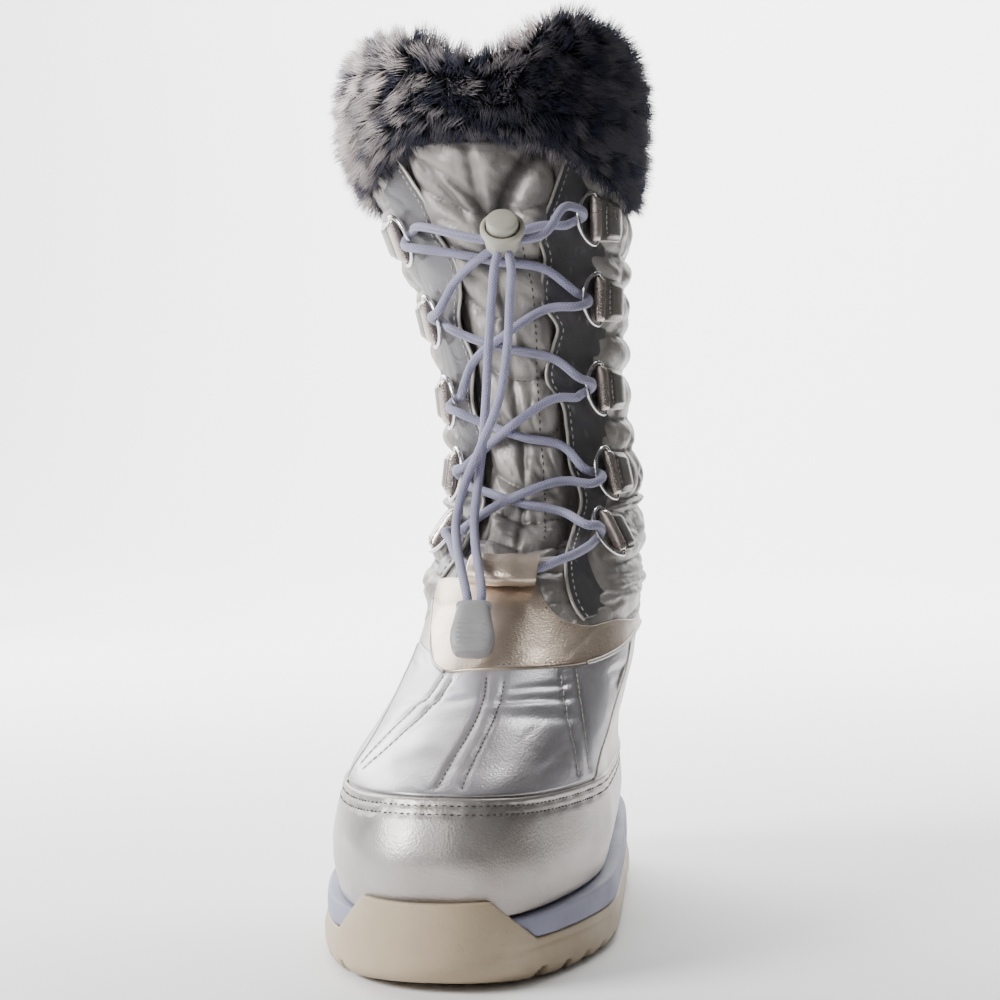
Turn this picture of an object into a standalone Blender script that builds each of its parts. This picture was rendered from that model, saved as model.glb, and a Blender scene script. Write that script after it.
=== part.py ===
"""Snow boot for the right foot, built from the pieces that a maker would put together.

The toe points to -Y, the inner (medial) side of the foot is +X and +Z is up. The boot is
modelled about the middle of its sole and then set down with its box centred on the origin.
Rings of the last run once round the foot: the angle is 0 at the toe or shin, a quarter
turn at the medial side and a half turn at the heel, and minus a quarter at the lateral side.
"""
import math
from collections import namedtuple

import bmesh
import bpy
import numpy as np
from mathutils import Matrix, Vector

# Overall sizes in metres
SOLE_LENGTH = 0.288
BALL_WIDTH = 0.108
COLLAR_WIDTH = 0.100
COLLAR_HEIGHT = 0.300
TOE_BED = 0.022
HEEL_BED = 0.032
TOE_SPRING = 0.0032
ARCH_RISE = 0.004

# Sole
TRAY_TOE = 0.0105
TRAY_HEEL = 0.0090
RUBBER_WALL = 0.0035
TREAD_BEVEL = 0.0050
BUMPER_HEIGHT = 0.030
SIDE_RIM = 0.015
HEEL_RIM = 0.021
FOAM_LIP = 0.0012
LUG_DEPTH = 0.0042
LUG_GAP = 0.0050
LUG_PITCH = 0.0155
TOE_CORNER = 2.35
HEEL_CORNER = 2.6
INSOLE_THICK = 0.0035
FEATHER_INSET = 0.0080

# Upper and its overlays
WALL = 0.0028
RAND_STEP = 0.0010
OVERLAY = 0.0011
TONGUE_PAD = 0.0042
TONGUE_CROWN = 0.0015
CLEAR = 0.0003
SOFT_CLEAR = 0.0006

# Lacing
LACE = 0.0035
RING_WIRE = 0.0018
RING_SLACK = 0.0005
RING_REACH = 0.0118
TAB_WIDE = 0.0180
RING_TALL = TAB_WIDE + 2 * (RING_WIRE + RING_SLACK)
TAB_LONG = 0.0215
TAB_THICK = 0.0022
TUNNEL_ANGLE = math.radians(-4)
TUNNEL_WIDE_ANGLE = math.radians(16)
TUNNEL_TALL = 0.0110
TUNNEL_DEEP = 0.0075
TUNNEL_WALL = 0.0012
TUNNEL_ROW = 7.85
LACE_STAND = SOFT_CLEAR + OVERLAY + LACE + CLEAR
LACE_SHIFT = LACE / 2 + 0.0007
RING_GRIP = 0.28
LOCK_RADIUS = 0.0086
LOCK_LENGTH = 0.0115
BUTTON_RADIUS = 0.0062
BUTTON_PROUD = 0.0040
BUTTON_TRAVEL = 0.0030
CLIP_TALL = 0.0215
CLIP_WIDE = 0.0165
CLIP_DEEP = 0.0085

# Fur
FUR_LOCK = 0.0062
FUR_SEED = 11

COLUMNS = 40
STEP = 2 * math.pi / COLUMNS
THROAT_COLUMNS = 4
THROAT_ANGLE = THROAT_COLUMNS * STEP
THROAT_ROW = 8.75
RAND_ROW = 3.0
RAND_SHARP = 0.05
RING_ANGLE = math.radians(50)

# The sole's outline. Widths and the swing of its middle line are shares of half the ball
# width, from the toe (0) to the back of the heel (1).
Plan = namedtuple("Plan", "share medial lateral swing")
PLAN = (
    Plan(0.00, 1.02, 1.04, -0.05),
    Plan(0.12, 1.03, 1.08, -0.05),
    Plan(0.30, 1.05, 1.05, -0.05),
    Plan(0.45, 0.97, 0.98, -0.05),
    Plan(0.60, 0.92, 0.88, -0.03),
    Plan(0.74, 0.91, 0.84, 0.00),
    Plan(0.88, 0.95, 0.94, 0.01),
    Plan(1.00, 0.97, 0.97, 0.01),
)

# Height of the tread above the floor, as shares of toe spring and arch rise.
Ground = namedtuple("Ground", "share spring arch")
GROUND = (
    Ground(0.000, 1.00, 0.0),
    Ground(0.054, 0.45, 0.0),
    Ground(0.146, 0.00, 0.0),
    Ground(0.420, 0.00, 0.0),
    Ground(0.500, 0.00, 0.8),
    Ground(0.580, 0.00, 1.0),
    Ground(0.655, 0.00, 0.8),
    Ground(0.727, 0.00, 0.0),
    Ground(0.976, 0.00, 0.0),
    Ground(1.000, 0.25, 0.0),
)

# Rings of the last. Places along the foot share the sole's length, rises share the height
# from the bed to the collar, and halves and leans share half the width named by the table.
Row = namedtuple("Row", "front back front_rise back_rise half plan corner lean")
FOOT_ROWS = (
    Row(-0.4725, 0.470, 0.000, 0.000, 0.870, 1.0, 2.6, 0.00),
    Row(-0.4825, 0.479, 0.043, 0.045, 0.912, 1.0, 2.6, 0.00),
    Row(-0.4805, 0.481, 0.086, 0.090, 0.905, 1.0, 2.5, 0.00),
    Row(-0.4530, 0.476, 0.140, 0.160, 0.875, 1.0, 2.4, 0.03),
    Row(-0.3920, 0.465, 0.180, 0.224, 0.840, 0.8, 2.2, 0.10),
    Row(-0.3125, 0.454, 0.227, 0.276, 0.810, 0.5, 2.0, 0.15),
    Row(-0.2430, 0.444, 0.270, 0.321, 0.780, 0.3, 2.0, 0.17),
    Row(-0.1670, 0.436, 0.324, 0.366, 0.740, 0.1, 2.0, 0.16),
    Row(-0.0940, 0.427, 0.388, 0.410, 0.725, 0.0, 2.0, 0.17),
)
SHAFT_ROWS = (
    Row(-0.0170, 0.416, 0.446, 0.470, 0.745, 0.0, 2.0, 0.20),
    Row(0.0280, 0.413, 0.525, 0.537, 0.705, 0.0, 2.1, 0.19),
    Row(0.0420, 0.416, 0.651, 0.649, 0.705, 0.0, 2.2, 0.10),
    Row(0.0350, 0.427, 0.781, 0.776, 0.800, 0.0, 2.2, 0.01),
    Row(0.0210, 0.440, 0.896, 0.896, 0.950, 0.0, 2.2, -0.13),
    Row(0.0100, 0.450, 1.000, 1.000, 1.000, 0.0, 2.2, -0.24),
)
TOP_ROW = len(FOOT_ROWS) + len(SHAFT_ROWS) - 1

# Rises of the five pairs of D-rings above the floor, as shares of the collar's height,
# and the length of their tabs as a share of the longest, from the top pair down.
RingPair = namedtuple("RingPair", "medial lateral tab")
RING_PAIRS = (
    RingPair(0.903, 0.883, 1.00),
    RingPair(0.797, 0.773, 1.00),
    RingPair(0.677, 0.663, 0.95),
    RingPair(0.563, 0.563, 0.75),
    RingPair(0.483, 0.483, 0.62),
)

# The fur's section: reach out from the collar's edge and height above it, as shares of the
# pile, from the lower outer edge over the top to the inside.
FUR_PILE = 0.047
Tuft = namedtuple("Tuft", "reach height follows lock")
TUFTS = (
    Tuft(0.017, -0.351, 1.0, 0.0),
    Tuft(0.128, -0.394, 1.0, 0.6),
    Tuft(0.223, -0.128, 0.7, 1.0),
    Tuft(0.266, 0.383, 0.0, 1.0),
    Tuft(0.213, 0.766, 0.0, 1.0),
    Tuft(0.043, 1.000, 0.0, 1.0),
    Tuft(-0.170, 0.957, 0.0, 1.0),
    Tuft(-0.298, 0.638, 0.0, 0.7),
    Tuft(-0.277, 0.213, 0.0, 0.4),
    Tuft(-0.106, 0.051, 0.0, 0.0),
    Tuft(0.017, 0.051, 0.0, 0.0),
)
FUR_FRONT_LIFT = 0.0150

# Lobes of the fur's top edge: the angle of each in degrees, its spread and its height as a
# share of the pile, met in full at the height of the pile.
Lobe = namedtuple("Lobe", "turn spread height")
LOBES = (
    Lobe(2.0, 22.0, -0.277),
    Lobe(48.0, 26.0, 0.106),
    Lobe(-48.0, 26.0, -0.085),
)

# Middles of the cord lock and the clip in metres, and their turns in degrees. Their
# heights, and those of the laces below, are shares of the collar's height.
LOCK_PLACE = (0.0030, -0.0140, 0.8710)
LOCK_TURN = (50, 0, 6)
LOCK_LACE_SIDE = (0.0104, -0.0044)
LOCK_LACE_END = (-0.0096, 0.8877)
CLIP_PLACE = (-0.0008, -0.0654, 0.3818)
CLIP_TURN = (58, 0, 4)

# The free lace ends, from the cord lock down to the clip.
LACE_END_A = (
    (0.0005, -0.0170, 0.8360), (-0.0010, -0.0155, 0.7933), (-0.0030, -0.0110, 0.7267),
    (-0.0045, -0.0075, 0.6600), (-0.0060, -0.0070, 0.6000), (-0.0070, -0.0110, 0.5533),
    (-0.0070, -0.0205, 0.5100), (-0.0045, -0.0335, 0.4750), (-0.0010, -0.0475, 0.4467),
    (0.0013, -0.0590, 0.4170),
)
LACE_END_B = (
    (0.0065, -0.0170, 0.8360), (0.0060, -0.0155, 0.7933), (0.0045, -0.0125, 0.7267),
    (0.0010, -0.0115, 0.6600), (-0.0060, -0.0125, 0.6000), (-0.0120, -0.0125, 0.5533),
    (-0.0140, -0.0195, 0.5100), (-0.0115, -0.0335, 0.4750), (-0.0075, -0.0475, 0.4467),
    (-0.0037, -0.0590, 0.4170),
)


def clear_scene():
    """Remove what the scene holds and return the boot's collection and the cutters'."""
    for thing in list(bpy.data.objects):
        bpy.data.objects.remove(thing, do_unlink=True)
    made = []
    for name in ("snow_boot", "cutters"):
        group = bpy.data.collections.new(name)
        bpy.context.scene.collection.children.link(group)
        made.append(group)
    return made


def paint(name, colour, roughness, metallic=0.0):
    """A plain principled material."""
    finish = bpy.data.materials.new(name)
    finish.use_nodes = True
    shader = finish.node_tree.nodes["Principled BSDF"]
    shader.inputs["Base Color"].default_value = (*colour, 1.0)
    shader.inputs["Roughness"].default_value = roughness
    shader.inputs["Metallic"].default_value = metallic
    return finish


def add_piece(name, mesh, material, group, parent=None):
    """Link a mesh as a named piece of the boot."""
    piece = bpy.data.objects.new(name, mesh)
    group.objects.link(piece)
    piece.data.materials.clear()
    piece.data.materials.append(material)
    piece.parent = parent
    return piece


def smooth(x, xs, ys):
    """Cubic through a table's points, its slope at each point that of the neighbours."""
    xs = np.asarray(xs, float)
    ys = np.asarray(ys, float)
    slope = np.gradient(ys, xs)
    x = np.clip(x, xs[0], xs[-1])
    i = np.clip(np.searchsorted(xs, x, side="right") - 1, 0, len(xs) - 2)
    span = xs[i + 1] - xs[i]
    t = (x - xs[i]) / span
    rise = t * t * (3 - 2 * t)
    bend = t * (1 - t) * ((1 - t) * slope[i] - t * slope[i + 1]) * span
    return ys[i] * (1 - rise) + ys[i + 1] * rise + bend


def column(table, name):
    """One named column of a table, as an array."""
    return np.array([getattr(row, name) for row in table], float)


def sole_share(y):
    """Share of the sole's length at y, from the toe."""
    return np.asarray(y, float) / SOLE_LENGTH + 0.5


def plan_width(y, theta):
    """Half width of the plan at y, on the side that the angle is on, over half the ball."""
    share = sole_share(y)
    medial = smooth(share, column(PLAN, "share"), column(PLAN, "medial"))
    lateral = smooth(share, column(PLAN, "share"), column(PLAN, "lateral"))
    return np.where(np.sin(theta) >= 0, medial, lateral)


def plan_swing(y):
    """Where the plan's middle line lies at y."""
    swing = smooth(sole_share(y), column(PLAN, "share"), column(PLAN, "swing"))
    return swing * BALL_WIDTH / 2


def ground(y):
    """Height of the tread above the floor."""
    share = column(GROUND, "share")
    lift = TOE_SPRING * column(GROUND, "spring") + ARCH_RISE * column(GROUND, "arch")
    return np.interp(sole_share(y), share, lift)


def bed(y):
    """Height of the foam's top, a plane that rises to the heel."""
    return TOE_BED + (HEEL_BED - TOE_BED) * sole_share(y)


def tray(y):
    """Height of the rubber's inner floor."""
    return TRAY_TOE + (TRAY_HEEL - TRAY_TOE) * sole_share(y)


def angles():
    """The angle of each column, from the toe round the medial side."""
    return np.arange(COLUMNS) * STEP


def sole_outline(inset):
    """Plan points of the sole's outline, drawn in by the inset, for each column."""
    theta = angles()
    y = -(SOLE_LENGTH / 2 - inset) * np.cos(theta)
    corner = np.where(np.cos(theta) > 0, 2 / TOE_CORNER, 2 / HEEL_CORNER)
    half = BALL_WIDTH / 2 * plan_width(y, theta) - inset
    x = plan_swing(y) + np.sign(np.sin(theta)) * np.abs(np.sin(theta)) ** corner * half
    return x, y


def row_sizes(v):
    """Sizes of the last's ring at row v, all in metres but plan and corner."""
    rows = FOOT_ROWS + SHAFT_ROWS
    halves = [BALL_WIDTH / 2] * len(FOOT_ROWS) + [COLLAR_WIDTH / 2] * len(SHAFT_ROWS)
    at = np.arange(len(rows))

    def read(name, scale=1.0):
        return smooth(v, at, column(rows, name) * scale)

    front = read("front", SOLE_LENGTH)
    back = read("back", SOLE_LENGTH)
    floor = SOFT_CLEAR + bed(front)
    heel_floor = SOFT_CLEAR + bed(back)
    return {
        "front": front,
        "back": back,
        "front_z": floor + read("front_rise") * (COLLAR_HEIGHT - floor),
        "back_z": heel_floor + read("back_rise") * (COLLAR_HEIGHT - heel_floor),
        "half": read("half", np.array(halves)),
        "plan": read("plan"),
        "corner": read("corner"),
        "lean": read("lean", np.array(halves)),
    }


def last(theta, v):
    """Point of the last: a flat ring at row v, tilted from shin to heel."""
    size = row_sizes(v)
    share = (1 - np.cos(theta)) / 2
    y = size["front"] + (size["back"] - size["front"]) * share
    z = size["front_z"] + (size["back_z"] - size["front_z"]) * share
    reach = np.abs(np.sin(theta)) ** (2 / size["corner"])
    half = size["half"] * (size["plan"] * plan_width(y, theta) + 1 - size["plan"])
    middle = size["lean"] + size["plan"] * plan_swing(y)
    x = middle + np.sign(np.sin(theta)) * reach * half
    return np.stack([x, y, z], axis=-1)


def skin(theta, v, off=0.0):
    """Point at a distance outside the last, with the thicker rand low on the foot."""
    theta, v, off = np.broadcast_arrays(
        np.asarray(theta, float), np.asarray(v, float), np.asarray(off, float)
    )
    tick = 1e-3
    round_foot = last(theta + tick, v) - last(theta - tick, v)
    up_foot = last(theta, np.minimum(v + tick, TOP_ROW)) - last(theta, np.maximum(v - tick, 0))
    out = np.cross(round_foot, up_foot)
    out = out / np.linalg.norm(out, axis=-1, keepdims=True)
    rand = np.clip((RAND_ROW + RAND_SHARP - v) / (2 * RAND_SHARP), 0, 1) * RAND_STEP
    return last(theta, v) + out * (off + rand)[..., None]


def row_at(theta, height):
    """The row at which the last passes a height, at one angle."""
    rows = np.linspace(0, TOP_ROW, 400)
    heights = last(np.full(rows.shape, theta), rows)[:, 2]
    return float(np.interp(height, heights, rows))


def upper_rows():
    """Rows of the upper's faces, close together at the rand's step."""
    low = np.linspace(0, RAND_ROW - RAND_SHARP, 5)
    vamp = np.linspace(RAND_ROW + RAND_SHARP, 8, 9)
    shaft = np.linspace(THROAT_ROW, TOP_ROW, 9)
    return np.concatenate([low, vamp, shaft])


def mesh_from(name, points, faces):
    """A mesh from points and faces, shaded smooth but for sharp edges."""
    mesh = bpy.data.meshes.new(name)
    mesh.from_pydata([tuple(p) for p in points], [], faces)
    mesh.validate()
    mesh.shade_smooth()
    mesh.set_sharp_from_angle(angle=math.radians(40))
    return mesh


def loft(name, rings):
    """A closed solid through rings of columns, capped below and above by straight rungs."""
    rings = np.array(rings)
    count = len(rings)
    faces = []
    for r in range(count - 1):
        for c in range(COLUMNS):
            n = (c + 1) % COLUMNS
            a, b = r * COLUMNS, (r + 1) * COLUMNS
            faces.append((a + c, a + n, b + n, b + c))
    half = COLUMNS // 2
    for base, top in ((0, False), ((count - 1) * COLUMNS, True)):
        for c in range(half):
            near = [base + c, base + c + 1]
            far = [base + (COLUMNS - c - 1) % COLUMNS, base + (COLUMNS - c) % COLUMNS]
            rung = list(dict.fromkeys(near + far))
            faces.append(rung if top else rung[::-1])
    return mesh_from(name, rings.reshape(-1, 3), faces)


def between(name, inner, outer):
    """A closed solid between two grids of points, stitched along its border."""
    rows, cols = inner.shape[:2]
    size = rows * cols
    points = np.concatenate([inner.reshape(-1, 3), outer.reshape(-1, 3)])
    faces = []
    for r in range(rows - 1):
        for c in range(cols - 1):
            a = r * cols + c
            quad = (a, a + 1, a + cols + 1, a + cols)
            faces.append(quad[::-1])
            faces.append(tuple(size + k for k in quad))
    border = [c for c in range(cols)]
    border += [r * cols + cols - 1 for r in range(1, rows)]
    border += [(rows - 1) * cols + c for c in range(cols - 2, -1, -1)]
    border += [r * cols for r in range(rows - 2, 0, -1)]
    for a, b in zip(border, border[1:] + border[:1]):
        faces.append((a, b, size + b, size + a))
    return mesh_from(name, points, faces)


def sole_ring(inset, height):
    """Ring of the sole's outline at heights given for each column."""
    x, y = sole_outline(inset)
    return np.stack([x, y, np.broadcast_to(height, x.shape)], axis=-1)


def bumper_share():
    """How far the rubber's rim has risen to the toe bumper, for each column."""
    theta = (angles() + math.pi) % (2 * math.pi) - math.pi
    start = np.where(theta >= 0, math.radians(17), math.radians(24))
    end = np.where(theta >= 0, math.radians(33), math.radians(38))
    return np.clip((end - np.abs(theta)) / (end - start), 0, 1)


def rim_height():
    """Height of the rubber's rim: low at the sides, higher at the heel, a bumper at the toe."""
    _, y = sole_outline(0)
    share = sole_share(y)
    side = SIDE_RIM + (HEEL_RIM - SIDE_RIM) * np.clip((share - 0.7) / 0.3, 0, 1) ** 2
    return side + (BUMPER_HEIGHT - side) * bumper_share()


def make_outsole(material, group, cutters, root):
    """Rubber cup: wall, rim and inner floor in one loft, with lug gaps cut across the tread."""
    _, y = sole_outline(0)
    rim = rim_height()
    rings = [
        sole_ring(TREAD_BEVEL, ground(y)),
        sole_ring(TREAD_BEVEL * 0.35, ground(y) + TREAD_BEVEL * 0.6),
        sole_ring(0.0, ground(y) + TREAD_BEVEL * 1.5),
        sole_ring(FOAM_LIP * 0.6, rim),
        sole_ring(RUBBER_WALL, rim),
        sole_ring(RUBBER_WALL, tray(y)),
    ]
    outsole = add_piece("outsole", loft("outsole", rings), material, group, root)
    starts = [-0.405 * SOLE_LENGTH + k * LUG_PITCH for k in range(6)]
    starts += [0.255 * SOLE_LENGTH + k * LUG_PITCH for k in range(4)]
    for k, place in enumerate(starts):
        mesh = bpy.data.meshes.new(f"lug_gap_{k}")
        form = bmesh.new()
        bmesh.ops.create_cube(form, size=1.0)
        lift = float(ground(place))
        scale = Matrix.Diagonal((BALL_WIDTH * 1.4, LUG_GAP, LUG_DEPTH * 2, 1))
        form.transform(Matrix.Translation((0, place, lift)) @ scale)
        form.to_mesh(mesh)
        form.free()
        cutter = bpy.data.objects.new(f"lug_gap_{k}", mesh)
        cutter.hide_render = True
        cutter.display_type = "WIRE"
        cutter.parent = root
        cutters.objects.link(cutter)
        cut = outsole.modifiers.new(f"lug_gap_{k}", "BOOLEAN")
        cut.operation = "DIFFERENCE"
        cut.object = cutter
    return outsole


def make_midsole(material, group, root):
    """Foam wedge that fills the cup and steps out over its side rims."""
    _, y = sole_outline(0)
    rim = rim_height()
    top = bed(y)
    inside = RUBBER_WALL + CLEAR
    under_top = top - 0.0030
    tucked = rim + CLEAR > under_top
    tucked = tucked | np.roll(tucked, 1) | np.roll(tucked, -1)
    lip = np.where(tucked, inside, FOAM_LIP)
    step = np.minimum(rim + CLEAR, under_top)
    rings = [
        sole_ring(inside, tray(y) + CLEAR),
        sole_ring(inside, step - CLEAR * tucked),
        sole_ring(lip, step),
        sole_ring(lip, top - 0.0012),
        sole_ring(lip + 0.0012, top),
    ]
    return add_piece("midsole", loft("midsole", rings), material, group, root)


def make_insole(material, group, root):
    """Flat footbed inside the upper's feather edge."""
    _, y = sole_outline(0)
    inset = FEATHER_INSET + WALL + SOFT_CLEAR
    rings = [
        sole_ring(inset, bed(y) + CLEAR),
        sole_ring(inset, bed(y) + CLEAR + INSOLE_THICK),
    ]
    return add_piece("insole", loft("insole", rings), material, group, root)


def make_upper(material, group, root):
    """The hollow upper: the last's skin with a throat left open, walled by Solidify."""
    rows = upper_rows()
    theta = angles()
    points = skin(theta[None, :], rows[:, None])
    faces = []
    for r in range(len(rows) - 1):
        for c in range(COLUMNS):
            in_throat = min(c, COLUMNS - 1 - c) < THROAT_COLUMNS
            if in_throat and rows[r] >= THROAT_ROW - 1e-6:
                continue
            n = (c + 1) % COLUMNS
            faces.append((r * COLUMNS + c, r * COLUMNS + n,
                          (r + 1) * COLUMNS + n, (r + 1) * COLUMNS + c))
    used = sorted({k for face in faces for k in face})
    place = {k: i for i, k in enumerate(used)}
    faces = [tuple(place[k] for k in face) for face in faces]
    mesh = mesh_from("upper", points.reshape(-1, 3)[used], faces)
    upper = add_piece("upper", mesh, material, group, root)
    wall = upper.modifiers.new("wall", "SOLIDIFY")
    wall.thickness = WALL
    wall.offset = -1
    return upper


def make_tongue(material, group, root):
    """Padded tongue: under the wall at its margins, crowned in the throat."""
    edge = math.degrees(THROAT_ANGLE)
    side = np.array([edge + 9, edge + 4.5, edge, edge - 1.5, edge - 8, 18, 9])
    theta = np.radians(np.concatenate([-side, [0], side[::-1]]))
    rows = upper_rows()
    rows = np.concatenate([[8.0, 8.4], rows[rows >= THROAT_ROW - 1e-6]])
    rows[-1] = TOP_ROW - 0.3
    rows = np.insert(rows, 3, THROAT_ROW + 0.25)
    across = np.clip((edge - 1.5 - np.abs(np.degrees(theta))) / 6.5, 0, 1)
    along = np.clip((rows - THROAT_ROW - 0.05) / 0.2, 0, 1)
    crown = across[None, :] * along[:, None]
    under = -(WALL + 0.0004)
    outer_off = under + (TONGUE_CROWN - under) * crown
    inner_off = outer_off - TONGUE_PAD * (0.6 + 0.4 * crown)
    grid = (theta[None, :], rows[:, None])
    mesh = between("tongue", skin(*grid, inner_off), skin(*grid, outer_off))
    return add_piece("tongue", mesh, material, group, root)


def overlay(name, theta, low, high, count, material, group, root):
    """An overlay plate on the upper between two lines of rows, one for each angle."""
    share = np.linspace(0, 1, count)[:, None]
    rows = low[None, :] + (high - low)[None, :] * share
    grid = (np.broadcast_to(theta, rows.shape), rows)
    mesh = between(name, skin(*grid, SOFT_CLEAR), skin(*grid, SOFT_CLEAR + OVERLAY))
    return add_piece(name, mesh, material, group, root)


def make_saddle(material, group, root):
    """Smooth overlay over the instep, with a narrow wing back along the medial side."""
    theta = np.arange(-5, 14) * STEP
    turn = np.abs(np.degrees(theta))
    low = np.full(theta.shape, 6.0)
    high = np.interp(turn, [0, 22, 40, 52, 120], [8.3, 8.2, 7.3, 6.85, 6.7])
    return overlay("saddle", theta, low, high, 5, material, group, root)


def make_eyestay(side, material, group, root):
    """Smooth strip along one edge of the throat, which the tabs are sewn over."""
    name = "eyestay_medial" if side > 0 else "eyestay_lateral"
    theta = side * np.radians([37.0, 45.0, 54.0, 62.0])
    if side < 0:
        theta = theta[::-1]
    turn = np.abs(np.degrees(theta))
    low = np.interp(turn, [37, 62], [8.9, 9.3])
    high = np.full(theta.shape, 13.1)
    return overlay(name, theta, low, high, 9, material, group, root)


class Seat:
    """Place on the shaft where a ring's tab sits: its frame and the surface near it."""

    def __init__(self, side, height, share):
        self.side = side
        length = TAB_LONG * share
        self.angle = side * RING_ANGLE
        self.row = row_at(self.angle, height)
        tick = 1e-2
        ahead = skin(self.angle + side * tick, self.row) - skin(self.angle - side * tick, self.row)
        above = skin(self.angle, self.row + tick) - skin(self.angle, self.row - tick)
        self.back = Vector(ahead).normalized()
        out = self.back.cross(Vector(above)) * side
        self.out = out.normalized()
        self.up = self.out.cross(self.back).normalized() * side
        self.loop = RING_WIRE / 2 + RING_SLACK + TAB_THICK / 2
        reach = np.linalg.norm(ahead) / (2 * tick)
        self.turns = self.angle + side * np.linspace(0.0, length / reach, 5)
        self.lift = SOFT_CLEAR + OVERLAY + SOFT_CLEAR + CLEAR
        self.origin = Vector(skin(self.angle, self.row, 0.0))
        self.lift += self.crowding(np.linalg.norm(above) / (2 * tick))
        self.origin = Vector(skin(self.angle, self.row, self.lift + self.loop))

    def crowding(self, rise):
        """How far the shaft stands out above and below the tab's middle line."""
        middle = np.array([p[1] for p in self.flat(self.turns, 0.0)])
        worst = 0.0
        for share in (-1.0, -0.5, 0.5, 1.0):
            row = self.row + share * TAB_WIDE / 2 / rise
            edge = np.array([p[1] for p in self.flat(self.turns, 0.0, row)])
            worst = max(worst, float((edge - middle).max()))
        return worst

    def frame(self):
        """Matrix whose X runs back along the tab, Y out of the shaft and Z along the bar."""
        across = self.back.cross(self.out)
        turn = Matrix((self.back, self.out, across)).transposed()
        return Matrix.Translation(self.origin) @ turn.to_4x4()

    def flat(self, theta, off, row=None):
        """Surface points beside the seat, in the tab's own plane."""
        points = skin(theta, self.row if row is None else row, off)
        local = [Vector(p) - self.origin for p in points]
        return [(p.dot(self.back), p.dot(self.out)) for p in local]


def circle(radius, count, start=0.0, sweep=2 * math.pi, closed=True):
    """Points of a circle or arc about the origin."""
    steps = count if closed else count - 1
    turn = [start + sweep * k / steps for k in range(count)]
    return [(radius * math.cos(a), radius * math.sin(a)) for a in turn]


def solid_of(source, group):
    """A mesh piece in place of a curve, its caps welded."""
    group.objects.link(source)
    bpy.context.view_layer.update()
    graph = bpy.context.evaluated_depsgraph_get()
    mesh = bpy.data.meshes.new_from_object(source.evaluated_get(graph))
    form = bmesh.new()
    form.from_mesh(mesh)
    bmesh.ops.remove_doubles(form, verts=form.verts, dist=1e-6)
    bmesh.ops.recalc_face_normals(form, faces=form.faces)
    form.to_mesh(mesh)
    form.free()
    place = source.matrix_world.copy()
    bpy.data.objects.remove(source)
    return mesh, place


def extruded(name, outlines, thickness):
    """A flat filled curve of closed outlines, extruded by its thickness."""
    shape = bpy.data.curves.new(name, "CURVE")
    shape.dimensions = "2D"
    shape.fill_mode = "BOTH"
    shape.extrude = thickness / 2
    for outline in outlines:
        line = shape.splines.new("POLY")
        line.points.add(len(outline) - 1)
        for point, (x, y) in zip(line.points, outline):
            point.co = (x, y, 0, 1)
        line.use_cyclic_u = True
    return bpy.data.objects.new(name, shape)


def tube(name, points, radius, resolution, cyclic=False):
    """A round tube along points, as a curve with filled caps."""
    path = bpy.data.curves.new(name, "CURVE")
    path.dimensions = "3D"
    path.bevel_depth = radius
    path.bevel_resolution = resolution
    path.use_fill_caps = not cyclic
    line = path.splines.new("POLY")
    line.points.add(len(points) - 1)
    for point, place in zip(line.points, points):
        point.co = (*place, 1)
    line.use_cyclic_u = cyclic
    return bpy.data.objects.new(name, path)


def make_tab(name, seat, material, group, root):
    """Folded strap along the shaft, with a loop at its throat end that holds the ring's bar."""
    under = seat.flat(seat.turns, seat.lift)
    over = seat.flat(seat.turns, seat.lift + TAB_THICK)
    nose = circle(seat.loop, 7, math.radians(80), math.radians(190), closed=False)
    outline = over[:0:-1] + nose + under[1:]
    hole = circle(RING_WIRE / 2 + RING_SLACK, 8)
    mesh, _ = solid_of(extruded(name, [outline, hole], TAB_WIDE), group)
    tab = add_piece(name, mesh, material, group, root)
    tab.matrix_local = seat.frame()
    return tab


def ring_points():
    """Middle line of a D-ring's wire: a straight bar and a bow towards the throat."""
    half = RING_TALL / 2 - RING_WIRE / 2
    straight = RING_REACH - half
    bow = circle(half, 8, math.radians(-90), -math.pi, closed=False)
    points = [(0.0, 0.0, half), (0.0, 0.0, -half)]
    points += [(x - straight, 0.0, z) for x, z in bow]
    return points


def make_ring(name, seat, material, group, root):
    """D-ring of wire, its bar in the tab's loop."""
    mesh, _ = solid_of(tube(name, ring_points(), RING_WIRE / 2, 1, cyclic=True), group)
    ring = add_piece(name, mesh, material, group, root)
    ring.matrix_local = seat.frame()
    return ring


def ring_tip(seat, rise):
    """Angle and row just past a ring's bow, a little above or below its middle."""
    gap = RING_REACH + RING_WIRE / 2 + LACE * RING_GRIP
    place = seat.origin - seat.back * gap + seat.up * rise
    theta = seat.angle
    for _ in range(12):
        row = row_at(theta, place.z)
        here = Vector(last(np.array(theta), np.array(row)))
        slope = Vector(last(np.array(theta + 0.01), np.array(row))) - here
        theta += 0.01 * (place - here).dot(slope) / slope.length_squared
    return theta, row_at(theta, place.z)


def strand(start, end, off, count=7):
    """Lace between two places given by angle and row, over the tongue."""
    share = np.linspace(0, 1, count)
    theta = start[0] + (end[0] - start[0]) * share
    row = start[1] + (end[1] - start[1]) * share
    return skin(theta, row, off)


def joined(name, first, second, material, group, root):
    """Two meshes joined into one solid where they cross."""
    piece = add_piece(name, first, material, group, root)
    other = bpy.data.objects.new(name + "_tool", second)
    group.objects.link(other)
    union = piece.modifiers.new("union", "BOOLEAN")
    union.operation = "UNION"
    union.object = other
    bpy.context.view_layer.update()
    graph = bpy.context.evaluated_depsgraph_get()
    whole = bpy.data.meshes.new_from_object(piece.evaluated_get(graph))
    piece.modifiers.clear()
    piece.data = whole
    bpy.data.objects.remove(other)
    return piece


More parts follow.
